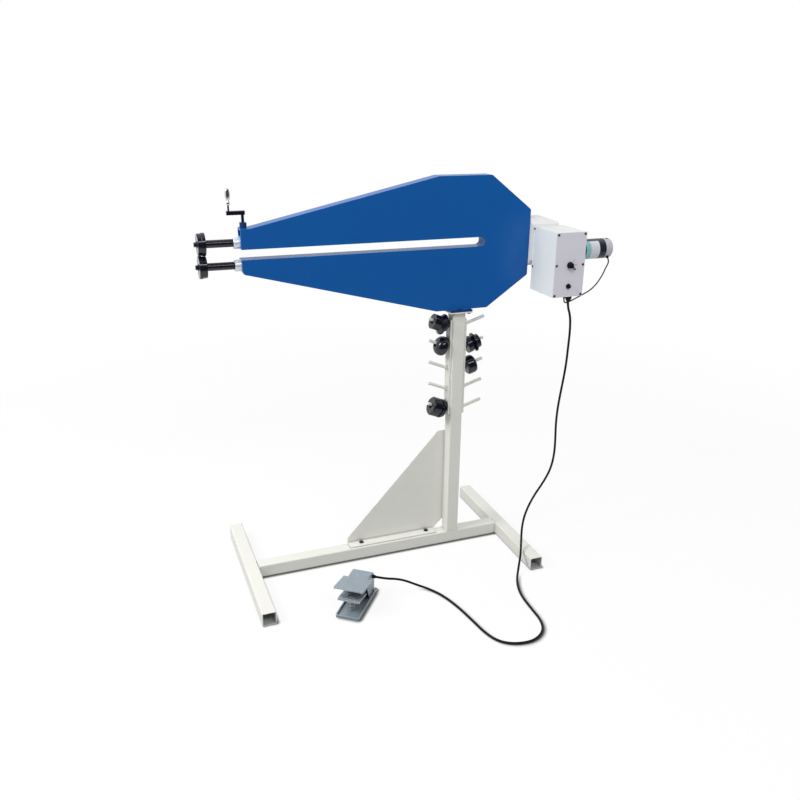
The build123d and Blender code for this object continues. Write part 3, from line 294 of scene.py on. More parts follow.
def moulded_plastic(name, colour, light, roughness):
    """Moulded plastic with a fine grain."""
    finish = Finish(name, shine=PLASTIC_SHINE)
    grain = finish.noise(PLASTIC_GRAIN)
    haze = finish.noise(HAZE_SIZE, detail=3.0)
    finish.set("Base Color", (haze.above(0.55, blur=0.25) * HAZE_SHARE).mix(colour, light))
    finish.set("Roughness", roughness + GRAIN_ROUGHNESS * (grain - NOISE_MIDDLE))
    finish.relief(grain, GRAIN_DEPTH, GRAIN_STRENGTH)
    return finish.material


# The pedal's hammered paint: dimples to a metre, its tones, painted shade in its corners and recesses, and
# on its edges worn bare metal with a painted highlight
DIMPLES_PER_METRE = 260.0
DIMPLE_DEPTH = 0.0006
DIMPLE_STRENGTH = 0.5
DIMPLE_SHARE = 0.5
PATCH_SIZE = 0.05
PATCH_SHARE = 0.4
PATCH_ROUGHNESS = 0.14
HAMMERED_ROUGHNESS = 0.3
HAMMERED_LIGHT = (0.32, 0.385, 0.435)
HAMMERED_DARK = (0.20, 0.25, 0.295)
# Painted shade in the pedal's corners and recesses, under the visor and in the tray: colour, reach and share
PEDAL_SHADE = (0.045, 0.06, 0.085)
PEDAL_SHADE_REACH = 0.06
PEDAL_SHADE_SHARE = 0.9
# Pedal edges, partly worn bare metal and partly a painted highlight: colour, width and share
PEDAL_METAL_AND_HIGHLIGHT = (0.72, 0.77, 0.80)
PEDAL_WEAR_AND_HIGHLIGHT_WIDTH = 0.004
PEDAL_WEAR_AND_HIGHLIGHT_SHARE = 0.8


def hammered_paint():
    """Blue-grey hammered paint: shallow round dimples with darker rims."""
    finish = Finish("hammered_grey_paint", metallic=0.2, coat=0.2)
    inputs = {"Vector": finish.place, "Scale": DIMPLES_PER_METRE}
    dimples = finish.wire.node("TexVoronoi", inputs, "Distance")
    patches = finish.noise(PATCH_SIZE, detail=4.0)
    tone = dimples.above(0.5, blur=0.3) * DIMPLE_SHARE + patches.above(0.55, blur=0.25) * PATCH_SHARE
    coat = tone.mix(HAMMERED_LIGHT, HAMMERED_DARK)
    # Painted shade darkens the pedal's corners and recesses
    coat = (finish.recess_shade(PEDAL_SHADE_REACH) * PEDAL_SHADE_SHARE).mix(coat, PEDAL_SHADE)
    # Lighter edges: partly worn bare metal, partly a painted highlight
    coat = (finish.edges(PEDAL_WEAR_AND_HIGHLIGHT_WIDTH) * PEDAL_WEAR_AND_HIGHLIGHT_SHARE).mix(coat, PEDAL_METAL_AND_HIGHLIGHT)
    finish.set("Base Color", coat)
    finish.set("Roughness", HAMMERED_ROUGHNESS + PATCH_ROUGHNESS * patches)
    finish.relief(1 - dimples, DIMPLE_DEPTH, DIMPLE_STRENGTH)
    return finish.material


# The motor's shell: its grain and colours, and its label's bands along X, upper edge and back edge
SHELL_GRAIN = 0.0015
SHELL_GRAIN_ROUGHNESS = 0.1
SHELL_ROUGHNESS = 0.22
SHELL_DARK = (0.012, 0.013, 0.024)
SHELL_LIGHT = (0.020, 0.021, 0.036)
MINT = (0.27, 0.54, 0.57)
LABEL_WHITE = (0.70, 0.72, 0.78)
MINT_START = 0.523
LABEL_START = 0.544
LABEL_END = 0.583
LABEL_TOP_Z = 1.2145
LABEL_BACK_Y = 0.012
LABEL_BLUR = 0.0004


def motor_paint():
    """The motor's shell: charcoal, with a bare white label and its mint stripe on the operator's side."""
    finish = Finish("motor_shell_paint")
    grain = finish.noise(SHELL_GRAIN)
    x = finish.along("X")
    over = finish.along("Z").above(LABEL_TOP_Z, LABEL_BLUR)
    behind = finish.along("Y").above(LABEL_BACK_Y, LABEL_BLUR)
    stuck = (1 - over) * (1 - behind)
    mint = (x.above(MINT_START, LABEL_BLUR) - x.above(LABEL_START, LABEL_BLUR)) * stuck
    label = (x.above(LABEL_START, LABEL_BLUR) - x.above(LABEL_END, LABEL_BLUR)) * stuck
    banded = mint.mix(grain.mix(SHELL_DARK, SHELL_LIGHT), MINT)
    finish.set("Base Color", label.mix(banded, LABEL_WHITE))
    finish.set("Roughness", SHELL_ROUGHNESS + SHELL_GRAIN_ROUGHNESS * grain)
    finish.relief(grain * (1 - label), GRAIN_DEPTH, GRAIN_STRENGTH)
    return finish.material


# The finishes of this machine, and the feet's middles along X
FRONT_FOOT_X = -0.830
REAR_FOOT_X = 0.225
# The cream's darkest colour is painted shade for its seams and inward corners
CREAM = dict(
    colour=(0.80, 0.80, 0.75), worn=(0.76, 0.76, 0.705), rubbed=(0.86, 0.86, 0.82), corner_shade=(0.17, 0.17, 0.16),
    roughness=0.50, shine=0.22, peel=0.0016,
)
cream = paint("cream_powder_coat", **CREAM)
front_foot_cream = paint("front_foot_powder_coat", **CREAM, bore_x=FRONT_FOOT_X)
rear_foot_cream = paint("rear_foot_powder_coat", **CREAM, bore_x=REAR_FOOT_X)
blue = paint(
    "gloss_blue_paint", colour=(0.0016, 0.106, 0.400), worn=(0.0012, 0.094, 0.360),
    rubbed=(0.05, 0.20, 0.50), roughness=0.30, shine=0.30, peel=0.0022,
)
# Dark blue: the screw collar's own colour, and painted shade on the foot plate's front under the frame
dark_blue_and_shade = paint(
    "dark_blue_paint_and_painted_shade", colour=(0.010, 0.045, 0.17), worn=(0.007, 0.03, 0.12),
    roughness=0.3, shine=0.2, peel=0.002,
)
box_grey = paint(
    "light_grey_powder_coat", colour=(0.80, 0.83, 0.83), worn=(0.75, 0.78, 0.78), rubbed=(0.86, 0.87, 0.87),
    roughness=0.42, shine=0.3, peel=0.0011,
)
panel_grey = paint(
    "panel_grey_paint", colour=(0.74, 0.725, 0.80), worn=(0.70, 0.69, 0.76),
    roughness=0.45, shine=0.25, peel=0.0011,
)
case_pale = paint(
    "pale_case_paint", colour=(0.83, 0.84, 0.845), worn=(0.77, 0.78, 0.785), rubbed=(0.86, 0.87, 0.87),
    roughness=0.4, shine=0.3, peel=0.0014, peel_depth=0.00012,
)
cap_grey = paint(
    "motor_cap_paint", colour=(0.56, 0.575, 0.60), worn=(0.48, 0.495, 0.52),
    roughness=0.42, shine=0.3, peel=0.0012, peel_depth=0.00012,
)
black_steel = turned_steel(
    "black_oxide_steel", colour=(0.002, 0.003, 0.010), bright=(0.005, 0.007, 0.019),
    roughness=0.14, stretch=(14, 1, 1), metallic=0.0, shine=0.55, groove=0.000003,
)
bright_steel = turned_steel(
    "ground_steel", colour=(0.50, 0.50, 0.51), bright=(0.66, 0.66, 0.67),
    roughness=0.28, stretch=(12, 1, 1),
)
zinc = turned_steel(
    "bright_zinc", colour=(0.76, 0.81, 0.88), bright=(0.86, 0.90, 0.95),
    roughness=0.3, stretch=(12, 1, 1), metallic=0.4,
)
chrome = turned_steel(
    "polished_chrome", colour=(0.60, 0.60, 0.61), bright=(0.72, 0.72, 0.73),
    roughness=0.08, stretch=(1, 1, 4), groove=0.00002,
)
black_plastic = moulded_plastic(
    "black_plastic", colour=(0.008, 0.008, 0.010), light=(0.016, 0.016, 0.018), roughness=0.42,
)
cord_rubber = moulded_plastic(
    "black_cord_sheath", colour=(0.006, 0.006, 0.007), light=(0.014, 0.014, 0.015), roughness=0.48,
)
board_green = moulded_plastic(
    "circuit_board", colour=(0.02, 0.12, 0.05), light=(0.03, 0.16, 0.07), roughness=0.4,
)
mark_grey = moulded_plastic(
    "printed_marks", colour=(0.09, 0.09, 0.11), light=(0.12, 0.12, 0.14), roughness=0.5,
)
mark_white = moulded_plastic(
    "white_index_line", colour=(0.62, 0.62, 0.64), light=(0.70, 0.70, 0.72), roughness=0.5,
)
hammered = hammered_paint()
motor_shell = motor_paint()

# Each CAD piece's finish
finishes = {
    front_foot_cream: ["front_foot_tube"],
    rear_foot_cream: ["rear_foot_tube"],
    cream: ["base_beam", "column", "column_flange", "gusset_plate", "peg_racks"],
    blue: [
        "front_side_plate", "rear_side_plate", "outer_band", "slot_liner", "lower_bearing_block",
        "upper_bearing_block",
    ],
    # The foot plate wears the dark blue as painted shade under the throat frame
    dark_blue_and_shade: ["screw_collar", "foot_plate"],
    box_grey: ["control_box"],
    panel_grey: ["control_panel"],
    case_pale: ["gear_case", "bearing_bridge", "gearhead"],
    motor_shell: ["motor_body"],
    cap_grey: ["motor_end_cap"],
    hammered: ["pedal_base", "pedal_hood", "pedal_treadle"],
    black_steel: [
        "frame_bolts", "upper_shaft", "lower_shaft", "upper_die", "lower_die", "upper_die_bolt",
        "lower_die_bolt", "crank_arm", "pressure_screw", "panel_screws", "bead_die", "round_die",
        "groove_die", "flange_die", "crown_die",
    ],
    bright_steel: ["rear_bearings", "upper_gear", "lower_gear", "thrust_pad", "pedal_pin", "pedal_spring"],
    zinc: ["lower_front_bush", "upper_front_bush"],
    chrome: ["crank_grip"],
    black_plastic: [
        "selector_switch", "selector_knob", "fuse_holder", "fuse_cap", "cable_glands", "pedal_switch",
    ],
    board_green: ["control_board"],
    cord_rubber: ["pedal_cord", "motor_lead"],
}

# Each CAD piece's body, from the record
bodies = frame["record"]["behaviour"]["bodies"]
body_of = {node: body for body, members in bodies.items() for node in members}
STAND = body_of["column"]

# Pieces: edges that turn by more than this angle stay sharp in their shading
SHARP_ANGLE = math.radians(50)


def wear(piece, material):
    """Gives a piece one material."""
    piece.data.materials.clear()
    piece.data.materials.append(material)


def smooth_piece(name, form, material, body):
    """Turns a mesh in the row frame into a smooth-shaded piece that rides on a body."""
    for face in form.faces:
        face.smooth = True
    for edge in form.edges:
        edge.smooth = not edge.is_manifold or edge.calc_face_angle() < SHARP_ANGLE
    mesh = bpy.data.meshes.new(name)
    form.to_mesh(mesh)
    form.free()
    piece = bpy.data.objects.new(name, mesh)
    scene.collection.objects.link(piece)
    wear(piece, material)
    flat_faces = piece.modifiers.new("flat_faces", "WEIGHTED_NORMAL")
    flat_faces.keep_sharp = True
    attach(piece, body)
    return piece


# Dressing: a copy of a CAD piece with rounded edges stands for it
EDGE_ANGLE = math.radians(33)
FLAT_ANGLE = math.radians(0.4)
MERGE = 1e-6
EDGE_STEPS = 2
SHOULDER_STEPS = 4


def round_edges(form, edges, size, steps):
    """Rounds some edges of a mesh."""
    bmesh.ops.bevel(
        form, geom=edges, offset=size, segments=steps, profile=0.5, affect="EDGES", clamp_overlap=True,
    )


def dressed(node, material, edge, shoulder=None, shoulder_size=0):
    """A smooth copy of a CAD piece that stands for it, with its sharp edges rounded to an edge size.

    The edges that are its shoulders get a larger round of their own first.
    """
    form = bmesh.new()
    form.from_mesh(cad[node].data)
    bmesh.ops.remove_doubles(form, verts=form.verts, dist=MERGE)
    bmesh.ops.dissolve_limit(form, angle_limit=FLAT_ANGLE, verts=form.verts, edges=form.edges)
    if shoulder:
        bent = [e for e in form.edges if shoulder(e)]
        round_edges(form, bent, shoulder_size, SHOULDER_STEPS)
    if edge:
        sharp = [e for e in form.edges if e.is_manifold and e.calc_face_angle() > EDGE_ANGLE]
        round_edges(form, sharp, edge, EDGE_STEPS)
    piece = smooth_piece(node + "_finished", form, material, body_of[node])
    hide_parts(node)
    return piece


edge_rounds = {
    "column_flange": 0.0012, "gusset_plate": 0.0012, "foot_plate": 0.0012, "front_side_plate": 0.0006,
    "rear_side_plate": 0.0006, "outer_band": 0.0003, "slot_liner": 0.0005, "screw_collar": 0.0006,
    "control_box": 0.0012, "control_panel": 0.0006, "gear_case": 0.002, "gearhead": 0.0016,
    "motor_body": 0.0008, "motor_end_cap": 0.0008, "pedal_base": 0.001, "pedal_treadle": 0.001,
    "upper_die": 0.0006, "lower_die": 0.0006, "upper_shaft": 0.0006, "lower_shaft": 0.0006,
    "crank_arm": 0.0012, "front_foot_tube": 0.0006, "rear_foot_tube": 0.0006, "peg_racks": 0.0008,
    "cable_glands": 0.0003, "selector_knob": 0.0008, "selector_switch": 0.0006, "fuse_holder": 0.0005,
    "fuse_cap": 0.0005, "bead_die": 0.0006, "round_die": 0.0006, "groove_die": 0.0006, "flange_die": 0.0006,
    "crown_die": 0.0006, "upper_die_bolt": 0.0006, "lower_die_bolt": 0.0006, "lower_front_bush": 0.0005,
    "upper_front_bush": 0.0005,
}
for material, members in finishes.items():
    for node in members:
        wear(cad[node], material)
for node, edge in edge_rounds.items():
    dressed(node, cad[node].data.materials[0], edge)

# The pedal in its own turned frame: along its length, across it and up
PEDAL_SPOT = (-0.568, -0.390, 0)
PEDAL_TURN = math.radians(52.2)
PEDAL_PLACE = Matrix.Translation(PEDAL_SPOT) @ Matrix.Rotation(PEDAL_TURN, 4, "Z")
HOOD_HALF = 0.037
HOOD_TOP = 0.100
HOOD_EDGE = 0.0012
HOOD_SHOULDER = 0.006
HOOD_SHOULDER_FOOT = 0.03
HOOD_ARC_START = 0.156
VISOR_BACK = 0.115
NEAR = 0.0005


def hood_shoulder(edge):
    """Whether an edge runs over the hood's top or down its back, along one of its cheeks."""
    for vert in edge.verts:
        along, across, up = PEDAL_PLACE.inverted() @ vert.co
        cheek = abs(abs(across) - HOOD_HALF) <= NEAR
        outer = up > HOOD_TOP - NEAR or along > HOOD_ARC_START - NEAR
        if not cheek or not outer or up < HOOD_SHOULDER_FOOT or along < VISOR_BACK + NEAR:
            return False
    return True


dressed("pedal_hood", hammered, HOOD_EDGE, shoulder=hood_shoulder, shoulder_size=HOOD_SHOULDER)

# The pedal's spring, with a mesh of its own
spring = dressed("pedal_spring", bright_steel, 0)
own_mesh(spring)

# Fittings: rings of points over a place, skinned into heads, beads and strokes
LEFT = (-1, 0, 0)
RIGHT = (1, 0, 0)
FRONT = (0, -1, 0)
UP = (0, 0, 1)
DOWN = (0, 0, -1)
ROUND_POINTS = 24
BEAD_POINTS = 10


def facing(spot, way):
    """A place at a spot, whose Z looks along a way."""
    return Matrix.Translation(spot) @ Vector(way).to_track_quat("Z", "Y").to_matrix().to_4x4()


def ring(place, height, radius, flats=0, points=ROUND_POINTS):
    """Points round a place at a height: a circle, or a polygon with its flats at that radius."""
    side = 2 * math.pi / (flats or points)
    spots = []
    for number in range(points):
        turn = 2 * math.pi * number / points
        reach = radius / math.cos((turn + side / 2) % side - side / 2) if flats else radius
        spots.append(place @ Vector((reach * math.cos(turn), reach * math.sin(turn), height)))
    return spots


def skin(form, rings):
    """Joins rings of points into a closed form."""
    loops = [[form.verts.new(spot) for spot in spots] for spots in rings]
    for low, high in zip(loops, loops[1:]):
        for number, vert in enumerate(low):
            form.faces.new((low[number - 1], vert, high[number], high[number - 1]))
    form.faces.new(loops[0][::-1])
    form.faces.new(loops[-1])


def solids_of(node):
    """The lowest and highest corners of each separate solid in a CAD piece."""
    form = bmesh.new()
    form.from_mesh(cad[node].data)
    bmesh.ops.remove_doubles(form, verts=form.verts, dist=MERGE)
    reached = set()
    boxes = []
    for first in form.verts:
        if first in reached:
            continue
        group = [first]
        reached.add(first)
        for vert in group:
            for edge in vert.link_edges:
                other = edge.other_vert(vert)
                if other not in reached:
                    reached.add(other)
                    group.append(other)
        low = Vector([min(vert.co[axis] for vert in group) for axis in range(3)])
        high = Vector([max(vert.co[axis] for vert in group) for axis in range(3)])
        boxes.append((low, high))
    form.free()
    return boxes


# Heads from seat to top: heights and radii as shares of the head's own, and flats where it has them
BOLT_HEAD_ROWS = (
    (0, 0.95, 0), (0.1, 0.95, 0), (0.1, 1, 6), (0.78, 1, 6), (1, 0.92, 0), (1, 0.7, 0), (0.95, 0.64, 0),
)
SCREW_HEAD_ROWS = ((0, 1, 0), (0.45, 1, 0), (0.8, 0.86, 0), (1, 0.62, 0), (1, 0.42, 6), (0.45, 0.4, 6))
SHANK_TIP = 0.8
SHANK_TIP_RISE = 0.2
SCREW_SHANK = 0.4


def headed(form, place, shank_rows, head_rows, radius, height):
    """A shank with a head on top of it."""
    rows = [*shank_rows, *((rise * height, reach * radius, flats) for rise, reach, flats in head_rows)]
    skin(form, [ring(place, *row) for row in rows])


def hex_bolt(form, place, shank, shank_r, across, height):
    """A hexagon bolt: chamfered shank, washer face, flats and a turned chamfer on top."""
    tip = (-shank, SHANK_TIP * shank_r)
    shank_rows = (tip, (SHANK_TIP_RISE * shank_r - shank, shank_r), (0, shank_r))
    headed(form, place, shank_rows, BOLT_HEAD_ROWS, across / 2, height)


def pan_screw(form, place, shank, radius, height):
    """A pan-head screw with a hexagon socket."""
    shank_rows = ((-shank, SCREW_SHANK * radius), (0, SCREW_SHANK * radius))
    headed(form, place, shank_rows, SCREW_HEAD_ROWS, radius, height)


# Welds: the length of a ripple, how much its dip takes off, and the share left at a bead's ends
WELD_RIPPLE = 0.004
WELD_DIP = 0.16
WELD_END = 0.4


def weld_bead(form, start, end, size):
    """A weld along a line: small ripples, thinner at the two ends."""
    way = Vector(end) - Vector(start)
    steps = 2 * max(3, round(way.length / WELD_RIPPLE))
    rings = []
    for step in range(steps + 1):
        swell = WELD_END if step in (0, steps) else 1.0 - WELD_DIP * (step % 2)
        place = facing(Vector(start) + way * step / steps, way)
        rings.append(ring(place, 0, swell * size, points=BEAD_POINTS))
    skin(form, rings)


def stroke(form, place, start, end, width, thick):
    """A flat printed stroke between two points of a place's own plane."""
    run = Vector(end) - Vector(start)
    side = Vector((-run.y, run.x)).normalized() * width / 2
    corners = [Vector(start) - side, Vector(end) - side, Vector(end) + side, Vector(start) + side]
    skin(form, [[place @ Vector((*corner, height)) for corner in corners] for height in (0, thick)])


# Bolts of the stand: those under the column's flange hang head down, those of the gusset stand head up
BOLT_HEAD = 0.0055
BOLT_ACROSS = 0.013
GUSSET_BOLT_ACROSS = 0.0155
BOLT_RADIUS = 0.004


def stand_bolts():
    """Hexagon bolts in place of the plain ones."""
    form = bmesh.new()
    gusset_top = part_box("gusset_plate")[1].z
    for low, high in solids_of("frame_bolts"):
        middle = (low + high) / 2
        if low.z < gusset_top:
            seat_z = high.z - BOLT_HEAD
            shank = seat_z - low.z
            way = UP
            across = GUSSET_BOLT_ACROSS
        else:
            seat_z = low.z + BOLT_HEAD
            shank = high.z - seat_z
            way = DOWN
            across = BOLT_ACROSS
        hex_bolt(form, facing((middle.x, middle.y, seat_z), way), shank, BOLT_RADIUS, across, BOLT_HEAD)
    piece = smooth_piece("stand_bolts", form, black_steel, STAND)
    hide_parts("frame_bolts")


def panel_screw_heads():
    """Socket screws in place of the plain ones, all round the control panel."""
    form = bmesh.new()
    panel_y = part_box("control_panel")[0].y
    for low, high in solids_of("panel_screws"):
        middle = (low + high) / 2
        place = facing((middle.x, panel_y, middle.z), FRONT)
        pan_screw(form, place, high.y - panel_y, (high.x - low.x) / 2, panel_y - low.y)
    piece = smooth_piece("panel_screw_heads", form, black_steel, STAND)
    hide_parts("panel_screws")


# Screws of the drive, as shank, head radius and head height, and their places on the pieces they hold
BOX_SCREW = (0.004, 0.004, 0.003)
BOX_SCREW_INSET = 0.0075
BOX_SCREW_DROP = 0.007
BOX_SCREW_RISE = 0.087
FLANGE_SCREW = (0.006, 0.005, 0.004)
FLANGE_THICK = 0.008
FLANGE_SCREW_Y = 0.032
FLANGE_SCREW_RISES = (0.056, 0.092)
CAP_SCREW = (0.004, 0.0038, 0.0024)
CAP_SCREW_OUT = 0.0165
ROUND_SCREW = (0.004, 0.004, 0.0016)
ROUND_SCREW_INSET = 0.016
ROUND_SCREW_TURN = math.radians(12)


def drive_screws():
    """Small screws that hold box, gear case, gearhead and motor cap together."""
    form = bmesh.new()
    box_low, box_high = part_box("control_box")
    for z in (box_high.z - BOX_SCREW_DROP, box_low.z + BOX_SCREW_RISE):
        pan_screw(form, facing((box_low.x, box_high.y - BOX_SCREW_INSET, z), LEFT), *BOX_SCREW)
    flange_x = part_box("gear_case")[1].x + FLANGE_THICK
    cap_low, cap_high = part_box("motor_end_cap")
    motor_z = (cap_low.z + cap_high.z) / 2
    motor_r = (cap_high.z - cap_low.z) / 2
    for side in (-1, 1):
        for rise in FLANGE_SCREW_RISES:
            spot = (flange_x, side * FLANGE_SCREW_Y, motor_z + rise)
            pan_screw(form, facing(spot, RIGHT), *FLANGE_SCREW)
        for lift in (-1, 1):
            spot = (cap_high.x, side * CAP_SCREW_OUT, motor_z + lift * CAP_SCREW_OUT)
            pan_screw(form, facing(spot, RIGHT), *CAP_SCREW)
    way = Vector((0, -math.sin(ROUND_SCREW_TURN), math.cos(ROUND_SCREW_TURN)))
    spot = Vector((cap_low.x + ROUND_SCREW_INSET, 0, motor_z)) + way * motor_r
    pan_screw(form, facing(spot, way), *ROUND_SCREW)
    smooth_piece("drive_screws", form, black_steel, STAND)


# Welds of the stand and the throat frame: bead sizes, and where the beads start and end
WELD_INSET = 0.004
BEAM_BEAD = 0.0032
COLUMN_BEAD = 0.003
GUSSET_BEAD = 0.0028
GUSSET_WEB_INSET = 0.005
GUSSET_BEAD_RISE = 0.05
RACK_BEAD = 0.0022
RACK_HALF = 0.020
RACK_BEAD_STARTS = (0.590, 0.710, 0.830, 0.915)
RACK_BEAD_LENGTH = 0.026
PLATE_BEAD = 0.0028
PLATE_BEAD_STARTS = (-0.040, 0.012)
PLATE_BEAD_LENGTH = 0.028


def stand_welds():
    """Weld beads where the stand's tubes, flange, gusset and peg racks meet."""
    form = bmesh.new()
    beam_low, beam_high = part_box("base_beam")
    column_low, column_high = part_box("column")
    gusset_low, gusset_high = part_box("gusset_plate")
    top = column_high.z
    beam_top = beam_high.z
    for x in (column_low.x, column_high.x):
        start = (x, beam_low.y + WELD_INSET, beam_top)
        weld_bead(form, start, (x, beam_high.y - WELD_INSET, beam_top), BEAM_BEAD)
        start = (x, column_low.y + WELD_INSET, top)
        weld_bead(form, start, (x, column_high.y - WELD_INSET, top), COLUMN_BEAD)
    for y in (column_low.y, column_high.y):
        start = (column_low.x + WELD_INSET, y, top)
        weld_bead(form, start, (column_high.x - WELD_INSET, y, top), COLUMN_BEAD)
        for x in (beam_low.x, beam_high.x):
            start = (x, y, beam_low.z + WELD_INSET)
            weld_bead(form, start, (x, y, beam_top - WELD_INSET), COLUMN_BEAD)
    web_y = gusset_high.y - GUSSET_WEB_INSET
    start = (column_low.x, web_y, gusset_low.z + GUSSET_BEAD_RISE)
    weld_bead(form, start, (column_low.x, web_y, gusset_high.z - WELD_INSET), GUSSET_BEAD)
    for x in (column_low.x, column_high.x):
        for y in (-RACK_HALF, RACK_HALF):
            for z in RACK_BEAD_STARTS:
                weld_bead(form, (x, y, z), (x, y, z + RACK_BEAD_LENGTH), RACK_BEAD)
    smooth_piece("stand_welds", form, cream, STAND)


def frame_welds():
    """Weld beads between the throat frame and its foot plate."""
    form = bmesh.new()
    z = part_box("foot_plate")[1].z
    for side in ("front_side_plate", "rear_side_plate"):
        low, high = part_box(side)
        y = low.y if low.y < 0 else high.y
        for x in PLATE_BEAD_STARTS:
            weld_bead(form, (x, y, z), (x + PLATE_BEAD_LENGTH, y, z), PLATE_BEAD)
    smooth_piece("frame_welds", form, blue, STAND)


# Printed marks of the selector: an arc and strokes with plain numbers round it, and a line on its handle
SELECTOR_STOPS = ((45, "1"), (0, "0"), (-45, "2"))
ARC_ANGLES = range(-45, 46, 5)
ARC_WIDTH = 0.0007
TICK_FROM = 0.0155
TICK_TO = 0.0195
TICK_WIDTH = 0.0011
NUMBER_AT = 0.0250
NUMBER_SIZE = 0.009
LINE_FROM = 0.008
LINE_TO = 0.0195
LINE_WIDTH = 0.0014
PRINT_THICK = 0.00015


def selector_face(front_y):
    """The place on the selector's axis at a depth, looking to the front."""
    low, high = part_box("selector_switch")
    middle = (low + high) / 2
    return facing((middle.x, front_y, middle.z), FRONT)


def selector_way(angle):
    """The way to a mark at an angle, in degrees, on the selector's face."""
    return Vector((math.cos(math.radians(angle)), math.sin(math.radians(angle))))


def print_number(form, place, number):
    """Prints a number in the middle of a place's own plane."""
    text = bpy.data.curves.new("selector_number", "FONT")
    text.body = number
    text.size = NUMBER_SIZE
    text.align_x = "CENTER"
    text.align_y = "CENTER"
    text.extrude = PRINT_THICK
    holder = bpy.data.objects.new("selector_number", text)
    printed = bpy.data.meshes.new_from_object(holder)
    printed.transform(place)
    form.from_mesh(printed)
    bpy.data.objects.remove(holder)
    bpy.data.curves.remove(text)
    bpy.data.meshes.remove(printed)


def selector_marks():
    """The strokes and numbers on the panel, and the white line on the handle at its place of rest."""
    form = bmesh.new()
    face = selector_face(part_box("control_panel")[0].y)
    bends = [selector_way(angle) * TICK_FROM for angle in ARC_ANGLES]
    for start, end in zip(bends, bends[1:]):
        stroke(form, face, start, end, ARC_WIDTH, PRINT_THICK)
    for angle, number in SELECTOR_STOPS:
        way = selector_way(angle)
        stroke(form, face, way * TICK_FROM, way * TICK_TO, TICK_WIDTH, PRINT_THICK)
        print_number(form, face @ Matrix.Translation((*(way * NUMBER_AT), 0)), number)
    smooth_piece("selector_numbers", form, mark_grey, STAND)
    line = bmesh.new()
    handle = selector_face(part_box("selector_knob")[0].y)
    way = selector_way(SELECTOR_STOPS[-1][0])
    stroke(line, handle, way * LINE_FROM, way * LINE_TO, LINE_WIDTH, PRINT_THICK)
    smooth_piece("selector_line", line, mark_white, body_of["selector_knob"])


# Rivets of the pedal: places along and up its cheeks, and heights and radii of one
RIVET_SPOTS = ((0.150, 0.022), (0.180, 0.022), (0.142, 0.086))
RIVET_ROWS = (
    (-0.002, 0.0028), (0, 0.0028), (0, 0.0042), (0.0008, 0.0041), (0.0016, 0.0032), (0.0021, 0.0016),
)


def pedal_rivets():
    """Domed rivets along the hood's two sides."""
    form = bmesh.new()
    for side in (-1, 1):
        for along, up in RIVET_SPOTS:
            place = PEDAL_PLACE @ facing((along, side * HOOD_HALF, up), (0, side, 0))
            skin(form, [ring(place, *row) for row in RIVET_ROWS])
    smooth_piece("pedal_rivets", form, bright_steel, STAND)


# Routes of the cords' solids, in millimetres
PEDAL_CORD_ROUTE = [
    (360, -190, 1035.5), (360, -190, 1012), (375, -190, 976), (379, -191, 920), (376, -192, 855),
    (374, -192, 791), (367, -193, 731), (358, -194, 670), (350, -195, 605), (348, -196, 541),
    (351, -197, 480), (351, -198, 419), (340, -199, 359), (313, -200, 308), (265, -202, 244),
    (232, -206, 178), (217, -216, 123), (205, -240, 70), (175, -293, 52), (145, -333, 16),
    (107, -392, 4.75), (81, -470, 4.75), (76, -558, 4.75), (74, -635, 4.75), (50, -692, 4.75),
    (-5, -727, 4.75), (-73, -721, 4.75), (-121, -690, 4.75),
    (-144, -633, 4.75), (-155, -552, 4.75), (-171, -452, 4.75), (-195, -371, 4.75), (-226, -318, 4.75),
    (-262, -294, 14), (-308, -292, 42), (-350, -303, 66), (-392.216, -306.142, 78), (-422.242, -282.852, 78),
]
MOTOR_LEAD_ROUTE = [
    (625, -33.87, 1147.13), (625, -45.184, 1135.816), (604, -56, 1114), (584, -66, 1087), (553, -80, 1060),
    (513, -100, 1042), (454, -128, 1032), (405, -150, 1024), (378, -162, 1020), (363, -168.5, 1020),
    (353, -172, 1028), (353, -172, 1038.5),
]

# The boot on the pedal cord under the box: heights below the box, and radii
BOOT_ROWS = (
    (0.0, 0.0118), (0.0105, 0.0118), (0.0115, 0.0110), (0.0150, 0.0098), (0.0158, 0.0088), (0.0190, 0.0080),
    (0.0198, 0.0070), (0.0230, 0.0064), (0.0238, 0.0056),
)


def cord_boot():
    """A stepped, tapered boot over the gland where the pedal cord leaves the box."""
    form = bmesh.new()
    x, y, _ = PEDAL_CORD_ROUTE[0]
    place = facing((MM * x, MM * y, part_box("control_box")[0].z), DOWN)
    skin(form, [ring(place, *row) for row in BOOT_ROWS])
    smooth_piece("cord_boot", form, black_plastic, STAND)


stand_bolts()
panel_screw_heads()
drive_screws()
stand_welds()
frame_welds()
selector_marks()
pedal_rivets()
cord_boot()

# Cords: the order and steps of their smooth lines, and the roundness of their section
CORD_ORDER = 3
CORD_STEPS = 8
CORD_ROUNDNESS = 5


def lay_cord(name, node, route, diameter):
    """A smooth round cord along a route given in millimetres."""
    line = bpy.data.curves.new(name, "CURVE")
    line.dimensions = "3D"
    line.bevel_depth = diameter / 2
    line.bevel_resolution = CORD_ROUNDNESS
    line.use_fill_caps = True
    spline = line.splines.new("NURBS")
    spline.points.add(len(route) - 1)
    for point, spot in zip(spline.points, route):
        point.co = (*(MM * value for value in spot), 1)
    spline.order_u = CORD_ORDER
    spline.use_endpoint_u = True
    spline.resolution_u = CORD_STEPS
    piece = bpy.data.objects.new(name, line)
    scene.collection.objects.link(piece)
    wear(piece, cord_rubber)
    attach(piece, body_of[node])
    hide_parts(node)


lay_cord(
    "pedal_cord_laid", "pedal_cord", PEDAL_CORD_ROUTE,
    diameter=0.0085,
)
lay_cord(
    "motor_lead_laid", "motor_lead", MOTOR_LEAD_ROUTE,
    diameter=0.005,
)

